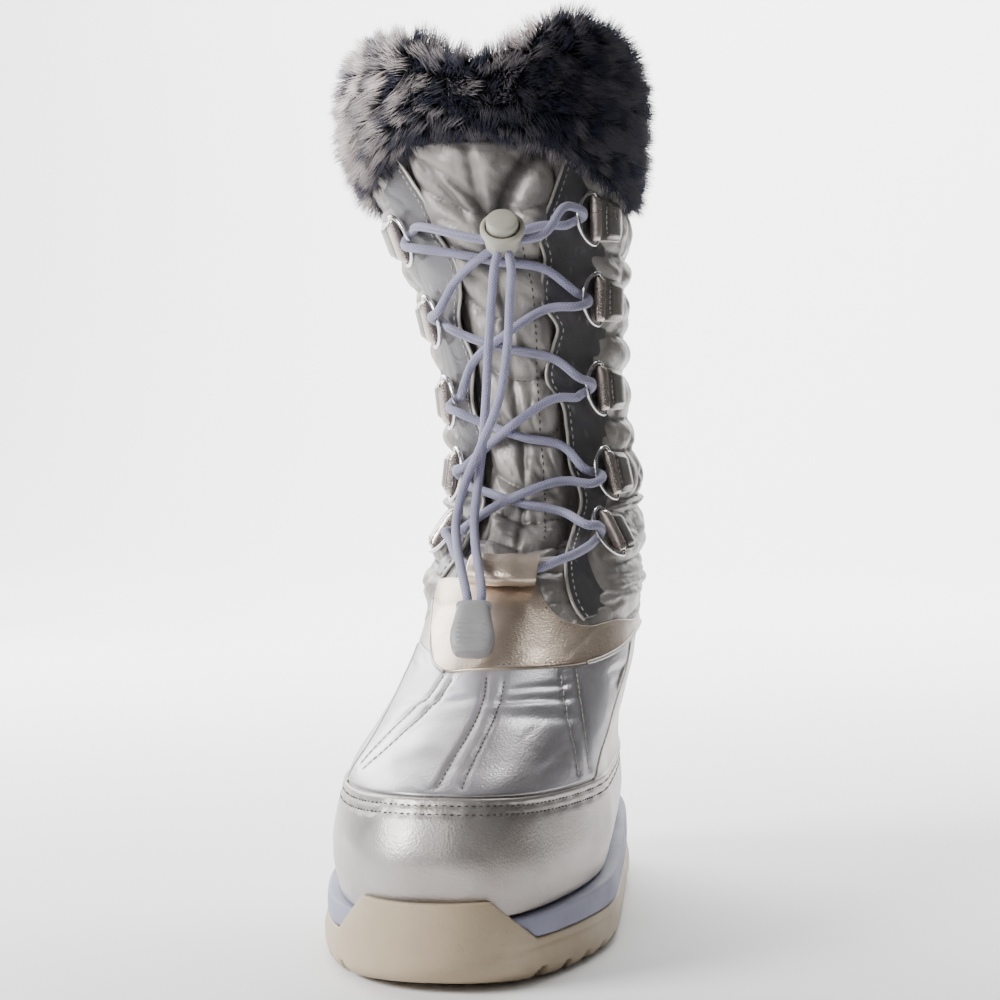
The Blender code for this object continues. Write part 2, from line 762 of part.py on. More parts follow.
def make_crossings(seats, material, group, root):
    """The lace's four crossings, each joined where its two strands meet."""
    for k in range(len(RING_PAIRS) - 1):
        upper_pair, lower_pair = seats[k], seats[k + 1]
        strands = []
        for side in (1, -1):
            start = ring_tip(lower_pair[side], LACE_SHIFT)
            end = ring_tip(upper_pair[-side], -LACE_SHIFT)
            line = strand(start, end, LACE_STAND)
            strands.append(solid_of(tube("strand", line, LACE / 2, 1), group)[0])
        joined(f"lace_cross_{k + 1}", *strands, material, group, root)


def make_lace_bar(seats, material, group, root):
    """The lowest lace, from ring to ring through the tunnel."""
    start = ring_tip(seats[-1][1], -LACE_SHIFT)
    end = ring_tip(seats[-1][-1], -LACE_SHIFT)
    turn = TUNNEL_WIDE_ANGLE * 1.15
    theta = np.concatenate([
        [start[0]], TUNNEL_ANGLE + np.linspace(turn, -turn, 7), [end[0]]])
    row = np.concatenate([[start[1]], np.full(7, TUNNEL_ROW), [end[1]]])
    through = tunnel_off()
    off = np.concatenate([[LACE_STAND], np.full(7, through), [LACE_STAND]])
    mesh, _ = solid_of(tube("lace_bar", skin(theta, row, off), LACE / 2, 1), group)
    return add_piece("lace_bar", mesh, material, group, root)


def tunnel_off():
    """Distance of the tunnel's middle from the last."""
    return SOFT_CLEAR + OVERLAY + CLEAR + TUNNEL_DEEP / 2


def make_tunnel(material, group, root):
    """Flattened loop of strap over the saddle's top, open at both ends."""
    theta = TUNNEL_ANGLE + np.linspace(-TUNNEL_WIDE_ANGLE, TUNNEL_WIDE_ANGLE, 7)
    around = circle(1.0, 12)
    per_row = np.linalg.norm(skin(0, 8.1) - skin(0, 7.6)) / 0.5
    rows = TUNNEL_ROW + np.array([a[1] for a in around]) * TUNNEL_TALL / 2 / per_row
    offs = tunnel_off() + np.array([a[0] for a in around]) * TUNNEL_DEEP / 2
    points = skin(theta[:, None], rows[None, :], offs[None, :])
    count = len(around)
    faces = []
    for r in range(len(theta) - 1):
        for c in range(count):
            n = (c + 1) % count
            faces.append((r * count + c, r * count + n,
                          (r + 1) * count + n, (r + 1) * count + c))
    mesh = mesh_from("lace_tunnel", points.reshape(-1, 3), faces)
    form = bmesh.new()
    form.from_mesh(mesh)
    bmesh.ops.recalc_face_normals(form, faces=form.faces)
    form.to_mesh(mesh)
    form.free()
    tunnel = add_piece("lace_tunnel", mesh, material, group, root)
    wall = tunnel.modifiers.new("wall", "SOLIDIFY")
    wall.thickness = TUNNEL_WALL
    wall.offset = -1
    return tunnel


def make_fur(material, group, root):
    """Deep fur over the collar, a ring whose faces are drawn out into locks."""
    theta = angles()
    front = np.clip(np.cos(theta), 0, 1) ** 2
    turn = (np.degrees(theta) + 180) % 360 - 180
    lobes = sum(lobe.height * np.exp(-((turn - lobe.turn) / lobe.spread) ** 2) for lobe in LOBES)
    rng = np.random.default_rng(FUR_SEED)
    rings = []
    for tuft in TUFTS:
        height = COLLAR_HEIGHT + FUR_PILE * (tuft.height + lobes * max(tuft.height, 0))
        height = height + FUR_FRONT_LIFT * front * tuft.follows
        rows = np.array([row_at(t, min(h, COLLAR_HEIGHT)) for t, h in zip(theta, height)])
        base = last(theta, rows)
        flat = skin(theta, rows, 1.0) - skin(theta, rows, 0.0)
        flat[:, 2] = 0
        flat = flat / np.linalg.norm(flat, axis=-1, keepdims=True)
        ring = base + flat * tuft.reach * FUR_PILE
        ring[:, 2] = height
        rings.append(ring)
    rings = np.array(rings)
    count = len(TUFTS)
    faces = []
    for r in range(count):
        for c in range(COLUMNS):
            n = (c + 1) % COLUMNS
            m = (r + 1) % count
            faces.append((r * COLUMNS + c, r * COLUMNS + n,
                          m * COLUMNS + n, m * COLUMNS + c))
    mesh = mesh_from("fur_cuff", rings.reshape(-1, 3), faces)
    form = bmesh.new()
    form.from_mesh(mesh)
    bmesh.ops.recalc_face_normals(form, faces=form.faces)
    form.faces.ensure_lookup_table()
    form.normal_update()
    locks = [(f, TUFTS[i // COLUMNS].lock) for i, f in enumerate(form.faces)]
    locks = [(f, lock) for f, lock in locks if lock > 0]
    for face, lock in locks:
        out = face.normal.copy()
        centre = face.calc_center_median()
        droop = Vector((0, 0, -0.35)) if out.z < 0.6 else Vector((0, 0, 0))
        tip = centre + (out + droop) * FUR_LOCK * lock * rng.uniform(0.45, 1.0)
        fan = bmesh.ops.poke(form, faces=[face])
        fan["verts"][0].co = tip
    form.to_mesh(mesh)
    form.free()
    mesh.shade_flat()
    return add_piece("fur_cuff", mesh, material, group, root)


def turned(name, profile, group, segments=20):
    """A solid turned about its Z axis from a profile of radius and height, top first."""
    mesh = bpy.data.meshes.new(name)
    points = [(radius, 0, height) for radius, height in profile]
    mesh.from_pydata(points, [(k, k + 1) for k in range(len(points) - 1)], [])
    source = bpy.data.objects.new(name, mesh)
    screw = source.modifiers.new("turn", "SCREW")
    screw.steps = segments
    screw.render_steps = segments
    screw.use_merge_vertices = True
    screw.merge_threshold = 1e-5
    return solid_of(source, group)[0]


def raised(place):
    """A place whose height is given as a share of the collar's height."""
    return np.array([place[0], place[1], place[2] * COLLAR_HEIGHT])


def lock_frame(root):
    """Empty on the cord lock's axis, which leans up and forward from the tongue."""
    axis = bpy.data.objects.new("lock_axis", None)
    axis.location = raised(LOCK_PLACE)
    axis.rotation_euler = [math.radians(turn) for turn in LOCK_TURN]
    axis.parent = root
    return axis


def make_lock(finishes, group, root):
    """Barrel lock with a bore for its button, which slides in against a spring."""
    axis = lock_frame(root)
    group.objects.link(axis)
    bore = BUTTON_RADIUS + CLEAR
    deep = LOCK_LENGTH * 0.5
    half = LOCK_LENGTH / 2
    round_off = LOCK_RADIUS * 0.14
    body = turned("cord_lock", (
        (bore, half - deep), (bore, half), (LOCK_RADIUS - round_off, half),
        (LOCK_RADIUS, half - round_off), (LOCK_RADIUS, -half + round_off * 2),
        (LOCK_RADIUS - round_off * 2, -half), (0, -half),
    ), group)
    form = bmesh.new()
    form.from_mesh(body)
    rim = [e for e in form.edges if e.is_boundary]
    bmesh.ops.holes_fill(form, edges=rim)
    bmesh.ops.recalc_face_normals(form, faces=form.faces)
    form.to_mesh(body)
    form.free()
    lock = add_piece("cord_lock", body, finishes["lock"], group, axis)
    bottom = half - deep + CLEAR + BUTTON_TRAVEL
    top = half + BUTTON_PROUD
    crown = BUTTON_RADIUS * 0.2
    plug = turned("lock_button", (
        (0, top), (BUTTON_RADIUS - crown, top), (BUTTON_RADIUS, top - crown),
        (BUTTON_RADIUS, bottom), (0, bottom),
    ), group)
    button = add_piece("lock_button", plug, finishes["lock"], group, axis)
    return lock, button


def route(points, count):
    """Points read at even steps from a smooth curve through a route's own points."""
    points = np.array(points, float)
    steps = np.linalg.norm(np.diff(points, axis=0), axis=1)
    at = np.concatenate([[0], np.cumsum(steps)])
    place = np.linspace(0, at[-1], count)
    return np.stack([smooth(place, at, points[:, k]) for k in range(3)], axis=-1)


def make_free_ends(finishes, group, root):
    """The two free lace ends and the clip that holds them."""
    for name, points in (("lace_end_a", LACE_END_A), ("lace_end_b", LACE_END_B)):
        points = [raised(point) for point in points]
        mesh, _ = solid_of(tube(name, route(points, 20), LACE / 2, 2), group)
        add_piece(name, mesh, finishes["lace"], group, root)
    half_w = CLIP_WIDE / 2
    half_t = CLIP_TALL / 2
    side = ((0.72, 1.0), (0.95, 0.62), (1.0, 0.1), (0.9, -0.7), (0.62, -1.0))
    outline = [(half_w * x, half_t * z) for x, z in side]
    outline += [(-half_w * x, half_t * z) for x, z in reversed(side)]
    mesh, _ = solid_of(extruded("cord_end", [outline], CLIP_DEEP), group)
    clip = add_piece("cord_end", mesh, finishes["clip"], group, root)
    clip.location = raised(CLIP_PLACE)
    clip.rotation_euler = [math.radians(turn) for turn in CLIP_TURN]
    return clip


def make_lock_laces(seats, material, group, root):
    """Laces from the top pair of rings into the cord lock."""
    sides = zip((1, -1), ("lace_top_medial", "lace_top_lateral"), LOCK_LACE_SIDE)
    for side, name, x in sides:
        theta, row = ring_tip(seats[0][side], LACE_SHIFT)
        start = skin(theta, row, LACE_STAND)
        end = raised((x, *LOCK_LACE_END))
        middle = (start + end) / 2 + np.array([0, -0.0030, 0.0010])
        mesh, _ = solid_of(tube(name, route([start, middle, end], 8), LACE / 2, 1), group)
        add_piece(name, mesh, material, group, root)


def set_down(root, group):
    """Move the boot so that the box of its pieces is centred over the origin."""
    bpy.context.view_layer.update()
    graph = bpy.context.evaluated_depsgraph_get()
    cords = ("lace_end_a", "lace_end_b", "cord_end", "cord_lock", "lock_button")
    corners = []
    for piece in group.objects:
        if piece.type != "MESH" or piece.name in cords:
            continue
        whole = piece.evaluated_get(graph)
        corners += [whole.matrix_world @ v.co for v in whole.to_mesh().vertices]
        whole.to_mesh_clear()
    corners = np.array([tuple(c) for c in corners])
    middle = (corners.min(axis=0) + corners.max(axis=0)) / 2
    root.location = (-middle[0], -middle[1], 0)


def main():
    """Build every piece of the boot."""
    group, cutters = clear_scene()
    finishes = {
        "rubber": paint("sole_rubber", (0.42, 0.34, 0.24), 0.6),
        "foam": paint("midsole_foam", (0.33, 0.33, 0.50), 0.7),
        "felt": paint("insole_felt", (0.20, 0.20, 0.21), 0.9),
        "shell": paint("silver_shell", (0.52, 0.51, 0.53), 0.35, 0.3),
        "quilt": paint("quilted_nylon", (0.46, 0.46, 0.50), 0.45, 0.2),
        "overlay": paint("silver_overlay", (0.56, 0.52, 0.50), 0.35, 0.3),
        "ring": paint("ring_metal", (0.62, 0.62, 0.64), 0.25, 1.0),
        "lace": paint("lace_cord", (0.30, 0.29, 0.40), 0.8),
        "lock": paint("lock_plastic", (0.48, 0.48, 0.42), 0.5),
        "clip": paint("clip_plastic", (0.30, 0.30, 0.30), 0.5),
        "fur": paint("dark_fur", (0.06, 0.05, 0.06), 0.9),
    }
    root = bpy.data.objects.new("boot", None)
    group.objects.link(root)
    make_outsole(finishes["rubber"], group, cutters, root)
    make_midsole(finishes["foam"], group, root)
    make_insole(finishes["felt"], group, root)
    make_upper(finishes["shell"], group, root)
    make_tongue(finishes["quilt"], group, root)
    make_saddle(finishes["overlay"], group, root)
    seats = []
    for pair in RING_PAIRS:
        heights = {1: pair.medial * COLLAR_HEIGHT, -1: pair.lateral * COLLAR_HEIGHT}
        seats.append({side: Seat(side, height, pair.tab) for side, height in heights.items()})
    for side, word in ((1, "medial"), (-1, "lateral")):
        make_eyestay(side, finishes["overlay"], group, root)
        for k, pair in enumerate(seats):
            make_tab(f"tab_{word}_{k + 1}", pair[side], finishes["overlay"], group, root)
            make_ring(f"ring_{word}_{k + 1}", pair[side], finishes["ring"], group, root)
    make_tunnel(finishes["overlay"], group, root)
    make_crossings(seats, finishes["lace"], group, root)
    make_lace_bar(seats, finishes["lace"], group, root)
    make_lock_laces(seats, finishes["lace"], group, root)
    make_lock(finishes, group, root)
    make_free_ends(finishes, group, root)
    make_fur(finishes["fur"], group, root)
    set_down(root, group)


if __name__ == "__main__":
    main()
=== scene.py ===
"""Looks of a lace-up snow boot for the right foot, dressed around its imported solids.

The toe points to -Y, the inner (medial) side of the foot is +X and +Z is up, in metres.
Most surfaces are functions of a turn round the foot (0 at the toe or shin, positive on the
medial side, 180 at the heel, in degrees) and of a row that rises from the sole to the collar.
"""

import logging
import math
from dataclasses import dataclass, field
from enum import Enum
from typing import Callable, NamedTuple, Optional, Protocol, Sequence

import bmesh
import bpy
import numpy as np
from mathutils import Euler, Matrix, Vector


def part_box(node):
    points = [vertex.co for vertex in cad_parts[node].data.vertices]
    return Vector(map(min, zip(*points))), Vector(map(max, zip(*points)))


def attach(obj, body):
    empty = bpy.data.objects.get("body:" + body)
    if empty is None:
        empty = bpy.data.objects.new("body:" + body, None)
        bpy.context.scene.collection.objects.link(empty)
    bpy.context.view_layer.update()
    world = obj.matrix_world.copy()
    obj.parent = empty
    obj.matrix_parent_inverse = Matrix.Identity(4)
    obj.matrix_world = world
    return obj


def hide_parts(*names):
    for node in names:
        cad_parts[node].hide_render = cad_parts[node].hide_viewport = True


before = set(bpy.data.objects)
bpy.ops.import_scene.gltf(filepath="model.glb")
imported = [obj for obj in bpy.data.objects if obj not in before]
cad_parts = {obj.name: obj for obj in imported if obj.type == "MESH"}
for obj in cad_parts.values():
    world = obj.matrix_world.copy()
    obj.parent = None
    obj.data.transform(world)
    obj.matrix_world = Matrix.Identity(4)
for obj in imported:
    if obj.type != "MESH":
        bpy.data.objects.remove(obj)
LOG = logging.getLogger("snow_boot")
Array = np.ndarray
Colour = tuple[float, float, float]
Socket = bpy.types.NodeSocket
Value = Socket | float
BOOT = "boot"
BUTTON = "button"
PER_TURN = 0.00075
"""Metres along the foot for a degree of turn, near enough for creases and stitch lines."""
PER_ROW = 0.020
"""Metres up the foot for a row, near enough for creases."""
MERGE_DISTANCE = 2e-6
FOOT_RADIUS, SHIN_RADIUS, SHAFT_RADIUS = 0.045, 0.042, 0.030
"""Mean radii at which the foot's, the shin's and the shaft's cloth is unrolled."""
SHAFT_RISE = 0.021
"""Metres up the shaft for a row."""


class Side(Enum):
    """Side of the foot, with the sign of its turns."""

    MEDIAL = 1
    LATERAL = -1

    @property
    def other(self) -> "Side":
        """The side across the foot."""
        return Side(-self.value)


class Section(NamedTuple):
    """Outline of the sole at a share of its length, as shares of half the ball width."""

    share: float
    medial: float
    lateral: float
    swing: float


class Ring(NamedTuple):
    """One ring of the last: places along the foot, rises, half width, plan share, corner, lean."""

    front: float
    back: float
    front_rise: float
    back_rise: float
    half: float
    plan: float
    corner: float
    lean: float


class Crease(NamedTuple):
    """A soft trough (negative depth) or ridge between two places, in degrees, rows and metres."""

    turn_0: float
    row_0: float
    turn_1: float
    row_1: float
    width: float
    depth: float


class Stitch(NamedTuple):
    """A kind of stitch: its pitch along the seam, its length, width and height."""

    pitch: float
    length: float
    width: float
    height: float


class Layer(NamedTuple):
    """A panel's place in the stack: its face's distance outside the last and its thickness."""

    lift: float
    thick: float


PLAN = (
    Section(0.00, 1.02, 1.04, -0.05), Section(0.12, 1.03, 1.08, -0.05),
    Section(0.30, 1.05, 1.05, -0.05), Section(0.45, 0.97, 0.98, -0.05),
    Section(0.60, 0.92, 0.88, -0.03), Section(0.74, 0.91, 0.84, 0.00),
    Section(0.88, 0.95, 0.94, 0.01), Section(1.00, 0.97, 0.97, 0.01),
)
RINGS = (
    Ring(-0.4725, 0.470, 0.000, 0.000, 0.870, 1.0, 2.6, 0.00),
    Ring(-0.4825, 0.479, 0.043, 0.045, 0.912, 1.0, 2.6, 0.00),
    Ring(-0.4805, 0.481, 0.086, 0.090, 0.905, 1.0, 2.5, 0.00),
    Ring(-0.4530, 0.476, 0.140, 0.160, 0.875, 1.0, 2.4, 0.03),
    Ring(-0.3920, 0.465, 0.180, 0.224, 0.840, 0.8, 2.2, 0.10),
    Ring(-0.3125, 0.454, 0.227, 0.276, 0.810, 0.5, 2.0, 0.15),
    Ring(-0.2430, 0.444, 0.270, 0.321, 0.780, 0.3, 2.0, 0.17),
    Ring(-0.1670, 0.436, 0.324, 0.366, 0.740, 0.1, 2.0, 0.16),
    Ring(-0.0940, 0.427, 0.388, 0.410, 0.725, 0.0, 2.0, 0.17),
    Ring(-0.0170, 0.416, 0.446, 0.470, 0.745, 0.0, 2.0, 0.20),
    Ring(0.0280, 0.413, 0.525, 0.537, 0.705, 0.0, 2.1, 0.19),
    Ring(0.0420, 0.416, 0.651, 0.649, 0.705, 0.0, 2.2, 0.10),
    Ring(0.0350, 0.427, 0.781, 0.776, 0.800, 0.0, 2.2, 0.01),
    Ring(0.0210, 0.440, 0.896, 0.896, 0.950, 0.0, 2.2, -0.13),
    Ring(0.0100, 0.450, 1.000, 1.000, 1.000, 0.0, 2.2, -0.24),
)
FOOT_RINGS = 9
TOP_ROW = len(RINGS) - 1
GROUND = (
    (0.000, 1.00, 0.0), (0.054, 0.45, 0.0), (0.146, 0.00, 0.0), (0.420, 0.00, 0.0),
    (0.500, 0.00, 0.8), (0.580, 0.00, 1.0), (0.655, 0.00, 0.8), (0.727, 0.00, 0.0),
    (0.976, 0.00, 0.0), (1.000, 0.25, 0.0),
)
RING_HEIGHTS = ((0.903, 0.883, 1.00), (0.797, 0.773, 1.00), (0.677, 0.663, 0.95),
                (0.563, 0.563, 0.75), (0.483, 0.483, 0.62))


def smooth(x: Array, xs: Sequence[float], ys: Sequence[float]) -> Array:
    """Cubic through a table's points, with each point's slope that of its neighbours.

    Args:
        x: places to read.
        xs: the table's places, rising.
        ys: the table's values.

    Returns:
        Values at x, held at the ends outside the table.
    """
    xs = np.asarray(xs, float)
    ys = np.asarray(ys, float)
    slope = np.gradient(ys, xs)
    x = np.clip(x, xs[0], xs[-1])
    i = np.clip(np.searchsorted(xs, x, side="right") - 1, 0, len(xs) - 2)
    span = xs[i + 1] - xs[i]
    t = (x - xs[i]) / span
    rise = t * t * (3 - 2 * t)
    bend = t * (1 - t) * ((1 - t) * slope[i] - t * slope[i + 1]) * span
    return ys[i] * (1 - rise) + ys[i + 1] * rise + bend


def unit(vectors: Array) -> Array:
    """Vectors of length one, along the last axis."""
    return vectors / np.maximum(np.linalg.norm(vectors, axis=-1, keepdims=True), 1e-12)


def step(x: Array, low: float, high: float) -> Array:
    """Smooth step from 0 at low to 1 at high."""
    t = np.clip((x - low) / (high - low), 0, 1)
    return t * t * (3 - 2 * t)


def powered(wave: Array, power: Array | float) -> Array:
    """A sine or cosine raised to a power with its sign kept: below one it squares a circle."""
    return np.sign(wave) * np.abs(wave) ** power


def wrapped(turn: Array) -> Array:
    """Turns in degrees brought between -180 and 180."""
    return (turn + 180) % 360 - 180


def unrolled(turn: Array, row: Array, radius: float, rise: float = PER_ROW) -> tuple[Array, Array]:
    """Places on the surface unrolled flat, in metres, from turns, rows and a mean radius."""
    return np.radians(turn) * radius, row * rise


def run_along(path: Array) -> Array:
    """Distance run at each point of a path."""
    return np.append(0, np.cumsum(np.linalg.norm(np.diff(path, axis=0), axis=1)))


def read_at(at: Array, run: Array, values: Array) -> Array:
    """Points of a path at given distances run."""
    return np.stack([np.interp(at, run, values[:, k]) for k in range(3)], axis=-1)


def placed(local: Array, turn: Sequence[float], place: Sequence[float]) -> Array:
    """Points of a local frame turned by three angles in degrees and then moved."""
    turned = np.array(Euler([math.radians(a) for a in turn]).to_matrix())
    return local @ turned.T + np.array(place)


@dataclass
class Last:
    """The foot's form that every piece follows, as the source of the solids has it."""

    sole_length: float = 0.288
    ball_width: float = 0.108
    collar_width: float = 0.100
    collar_height: float = 0.300
    toe_bed: float = 0.022
    heel_bed: float = 0.032
    toe_spring: float = 0.0032
    arch_rise: float = 0.004
    bed_gap: float = 0.0006
    toe_corner: float = 2.35
    heel_corner: float = 2.6
    shift: Array = field(default_factory=lambda: np.zeros(3))

    def __post_init__(self) -> None:
        """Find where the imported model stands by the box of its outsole."""
        x, y = self.outline(np.arange(40) * 2 * math.pi / 40, 0.0)
        low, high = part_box("outsole")
        middle = (np.array(low) + np.array(high)) / 2
        self.shift = np.array([middle[0] - (x.min() + x.max()) / 2,
                               middle[1] - (y.min() + y.max()) / 2, 0.0])

    def share(self, y: Array) -> Array:
        """Share of the sole's length at y, from the toe."""
        return np.asarray(y, float) / self.sole_length + 0.5

    def width(self, y: Array, theta: Array) -> Array:
        """Half width of the plan at y over half the ball width, on the angle's side.

        Args:
            y: places along the foot.
            theta: angles round the foot, in radians.

        Returns:
            Shares of half the ball width.
        """
        table = np.array(PLAN)
        share = self.share(y)
        medial = smooth(share, table[:, 0], table[:, 1])
        lateral = smooth(share, table[:, 0], table[:, 2])
        return np.where(np.sin(theta) >= 0, medial, lateral)

    def swing(self, y: Array) -> Array:
        """Place of the plan's middle line at y."""
        table = np.array(PLAN)
        return smooth(self.share(y), table[:, 0], table[:, 3]) * self.ball_width / 2

    def ground(self, y: Array) -> Array:
        """Height of the tread above the floor: toe spring and arch, straight between places.

        Args:
            y: places along the foot.

        Returns:
            Heights.
        """
        table = np.array(GROUND)
        lift = self.toe_spring * table[:, 1] + self.arch_rise * table[:, 2]
        return np.interp(self.share(y), table[:, 0], lift)

    def bed(self, y: Array) -> Array:
        """Height of the foam's top, a plane that rises to the heel."""
        return self.toe_bed + (self.heel_bed - self.toe_bed) * self.share(y)

    def outline(self, theta: Array, inset: Array) -> tuple[Array, Array]:
        """Sole's outline: y follows the cosine of the angle, x a rounded power of its sine.

        Args:
            theta: angles round the foot, in radians.
            inset: how far the outline is drawn in.

        Returns:
            Places across and along the foot.
        """
        y = -(self.sole_length / 2 - inset) * np.cos(theta)
        corner = np.where(np.cos(theta) > 0, 2 / self.toe_corner, 2 / self.heel_corner)
        half = self.ball_width / 2 * self.width(y, theta) - inset
        x = self.swing(y) + powered(np.sin(theta), corner) * half
        return x, y

    def point(self, theta: Array, row: Array) -> Array:
        """Point of the last: a flat ring at each row, tilted from shin to heel.

        Args:
            theta: angles round the foot, in radians.
            row: rows, of the same shape.

        Returns:
            Points in the model's own coordinates, with a last axis of three.
        """
        table = np.array(RINGS)
        at = np.arange(len(RINGS))
        widths = np.where(at < FOOT_RINGS, self.ball_width / 2, self.collar_width / 2)
        front = smooth(row, at, table[:, 0] * self.sole_length)
        back = smooth(row, at, table[:, 1] * self.sole_length)
        floor = self.bed_gap + self.bed(front)
        heel = self.bed_gap + self.bed(back)
        front_z = floor + smooth(row, at, table[:, 2]) * (self.collar_height - floor)
        back_z = heel + smooth(row, at, table[:, 3]) * (self.collar_height - heel)
        half = smooth(row, at, table[:, 4] * widths)
        plan = smooth(row, at, table[:, 5])
        corner = smooth(row, at, table[:, 6])
        lean = smooth(row, at, table[:, 7] * widths)
        share = (1 - np.cos(theta)) / 2
        y = front + (back - front) * share
        z = front_z + (back_z - front_z) * share
        half = half * (plan * self.width(y, theta) + 1 - plan)
        x = lean + plan * self.swing(y) + powered(np.sin(theta), 2 / corner) * half
        return np.stack([x, y, z], axis=-1)

    def normal(self, theta: Array, row: Array) -> Array:
        """Outward unit normal, from small steps round the foot and up it.

        Args:
            theta: angles round the foot, in radians.
            row: rows, of the same shape.

        Returns:
            Normals with a last axis of three.
        """
        tick = 1e-3
        around = self.point(theta + tick, row) - self.point(theta - tick, row)
        up = (self.point(theta, np.minimum(row + tick, TOP_ROW))
              - self.point(theta, np.maximum(row - tick, 0)))
        return unit(np.cross(around, up))

    def skin(self, turn: Array, row: Array, off: Array = 0.0) -> Array:
        """Point at a distance outside the last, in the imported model's frame.

        Args:
            turn: turns round the foot, in degrees.
            row: rows.
            off: distances outside the last, in metres.

        Returns:
            Points with a last axis of three.
        """
        turn, row, off = np.broadcast_arrays(
            np.asarray(turn, float), np.asarray(row, float), np.asarray(off, float))
        theta = np.radians(turn)
        return self.point(theta, row) + self.normal(theta, row) * off[..., None] + self.shift

    def row_at(self, turn: float, height: float) -> float:
        """Row at which the last passes a height, at one turn.

        Args:
            turn: turn round the foot, in degrees.
            height: height above the floor.

        Returns:
            The row.
        """
        rows = np.linspace(0, TOP_ROW, 400)
        heights = self.point(np.full(rows.shape, math.radians(turn)), rows)[:, 2]
        return float(np.interp(height, heights, rows))


def mesh_of(name: str, points: Array, faces: Array | Sequence[Array],
            uv: Optional[Array] = None,
            marks: Optional[dict[str, Array]] = None) -> bpy.types.Mesh:
    """A smooth mesh from arrays of points and quads or triangles.

    Args:
        name: the mesh's name.
        points: points, n by 3.
        faces: indices, m by 3 or 4, or a list of such arrays.
        uv: a UV place for each point.
        marks: float attributes, one value for each point.

    Returns:
        The mesh.
    """
    mesh = bpy.data.meshes.new(name)
    groups = [faces] if isinstance(faces, np.ndarray) else list(faces)
    index = np.concatenate([group.ravel() for group in groups]).astype(np.int32)
    sides = np.concatenate([np.full(len(group), group.shape[1]) for group in groups])
    mesh.vertices.add(len(points))
    mesh.vertices.foreach_set("co", np.asarray(points, np.float32).ravel())
    mesh.loops.add(len(index))
    mesh.loops.foreach_set("vertex_index", index)
    mesh.polygons.add(len(sides))
    mesh.polygons.foreach_set("loop_start", (np.cumsum(sides) - sides).astype(np.int32))
    mesh.polygons.foreach_set("use_smooth", np.ones(len(sides), bool))
    if uv is not None:
        layer = mesh.uv_layers.new(name="UVMap")
        layer.data.foreach_set("uv", np.asarray(uv, np.float32)[index].ravel())
    for mark, values in (marks or {}).items():
        found = mesh.attributes.new(mark, "FLOAT", "POINT")
        found.data.foreach_set("value", np.asarray(values, np.float32).ravel())
    mesh.update(calc_edges=True)
    mesh.validate()
    return mesh


def mended(mesh: bpy.types.Mesh, merge: bool = False, fill: bool = False) -> bpy.types.Mesh:
    """Turn every face of a closed form outward.

    Args:
        mesh: the mesh, changed in place.
        merge: whether doubled points are merged first.
        fill: whether open ends are closed first.

    Returns:
        The same mesh.
    """
    form = bmesh.new()
    form.from_mesh(mesh)
    if merge:
        bmesh.ops.remove_doubles(form, verts=form.verts, dist=MERGE_DISTANCE)
    if fill:
        bmesh.ops.holes_fill(form, edges=[e for e in form.edges if e.is_boundary])
    bmesh.ops.recalc_face_normals(form, faces=form.faces)
    form.to_mesh(mesh)
    form.free()
    return mesh


def quads(rows: int, cols: int, wrap: bool = False) -> Array:
    """Quads of a grid whose columns turn round and rows rise, facing out.

    Args:
        rows: points up the grid.
        cols: points round it.
        wrap: whether the columns close on themselves.

    Returns:
        Indices, m by 4.
    """
    index = np.arange(rows * cols).reshape(rows, cols)
    if wrap:
        index = np.concatenate([index, index[:, :1]], axis=1)
    return np.stack([index[:-1, :-1], index[:-1, 1:], index[1:, 1:], index[1:, :-1]],
                    axis=-1).reshape(-1, 4)


def lengths(points: Array, axis: int) -> Array:
    """Distance run along one axis of a grid of points, from its first line.

    Args:
        points: rows by columns by 3.
        axis: 0 to run up the rows, 1 along the columns.

    Returns:
        Distances, rows by columns.
    """
    steps = np.linalg.norm(np.diff(points, axis=axis), axis=-1)
    pad = [(0, 0), (0, 0)]
    pad[axis] = (1, 0)
    return np.pad(np.cumsum(steps, axis=axis), pad)


def joined(fine: Array, coarse: Array, kept: Array) -> Array:
    """Triangles between a fine border line and the coarse one that keeps some of its places.

    Args:
        fine: indices of the fine line.
        coarse: indices of the coarse line.
        kept: places of the fine line that the coarse one keeps.

    Returns:
        Indices, m by 3.
    """
    place = np.searchsorted(kept, np.arange(len(fine) - 1), side="right") - 1
    one = np.stack([fine[1:], fine[:-1], coarse[place]], axis=-1)
    two = np.stack([fine[kept[1:]], coarse[:-1], coarse[1:]], axis=-1)
    return np.concatenate([one, two])


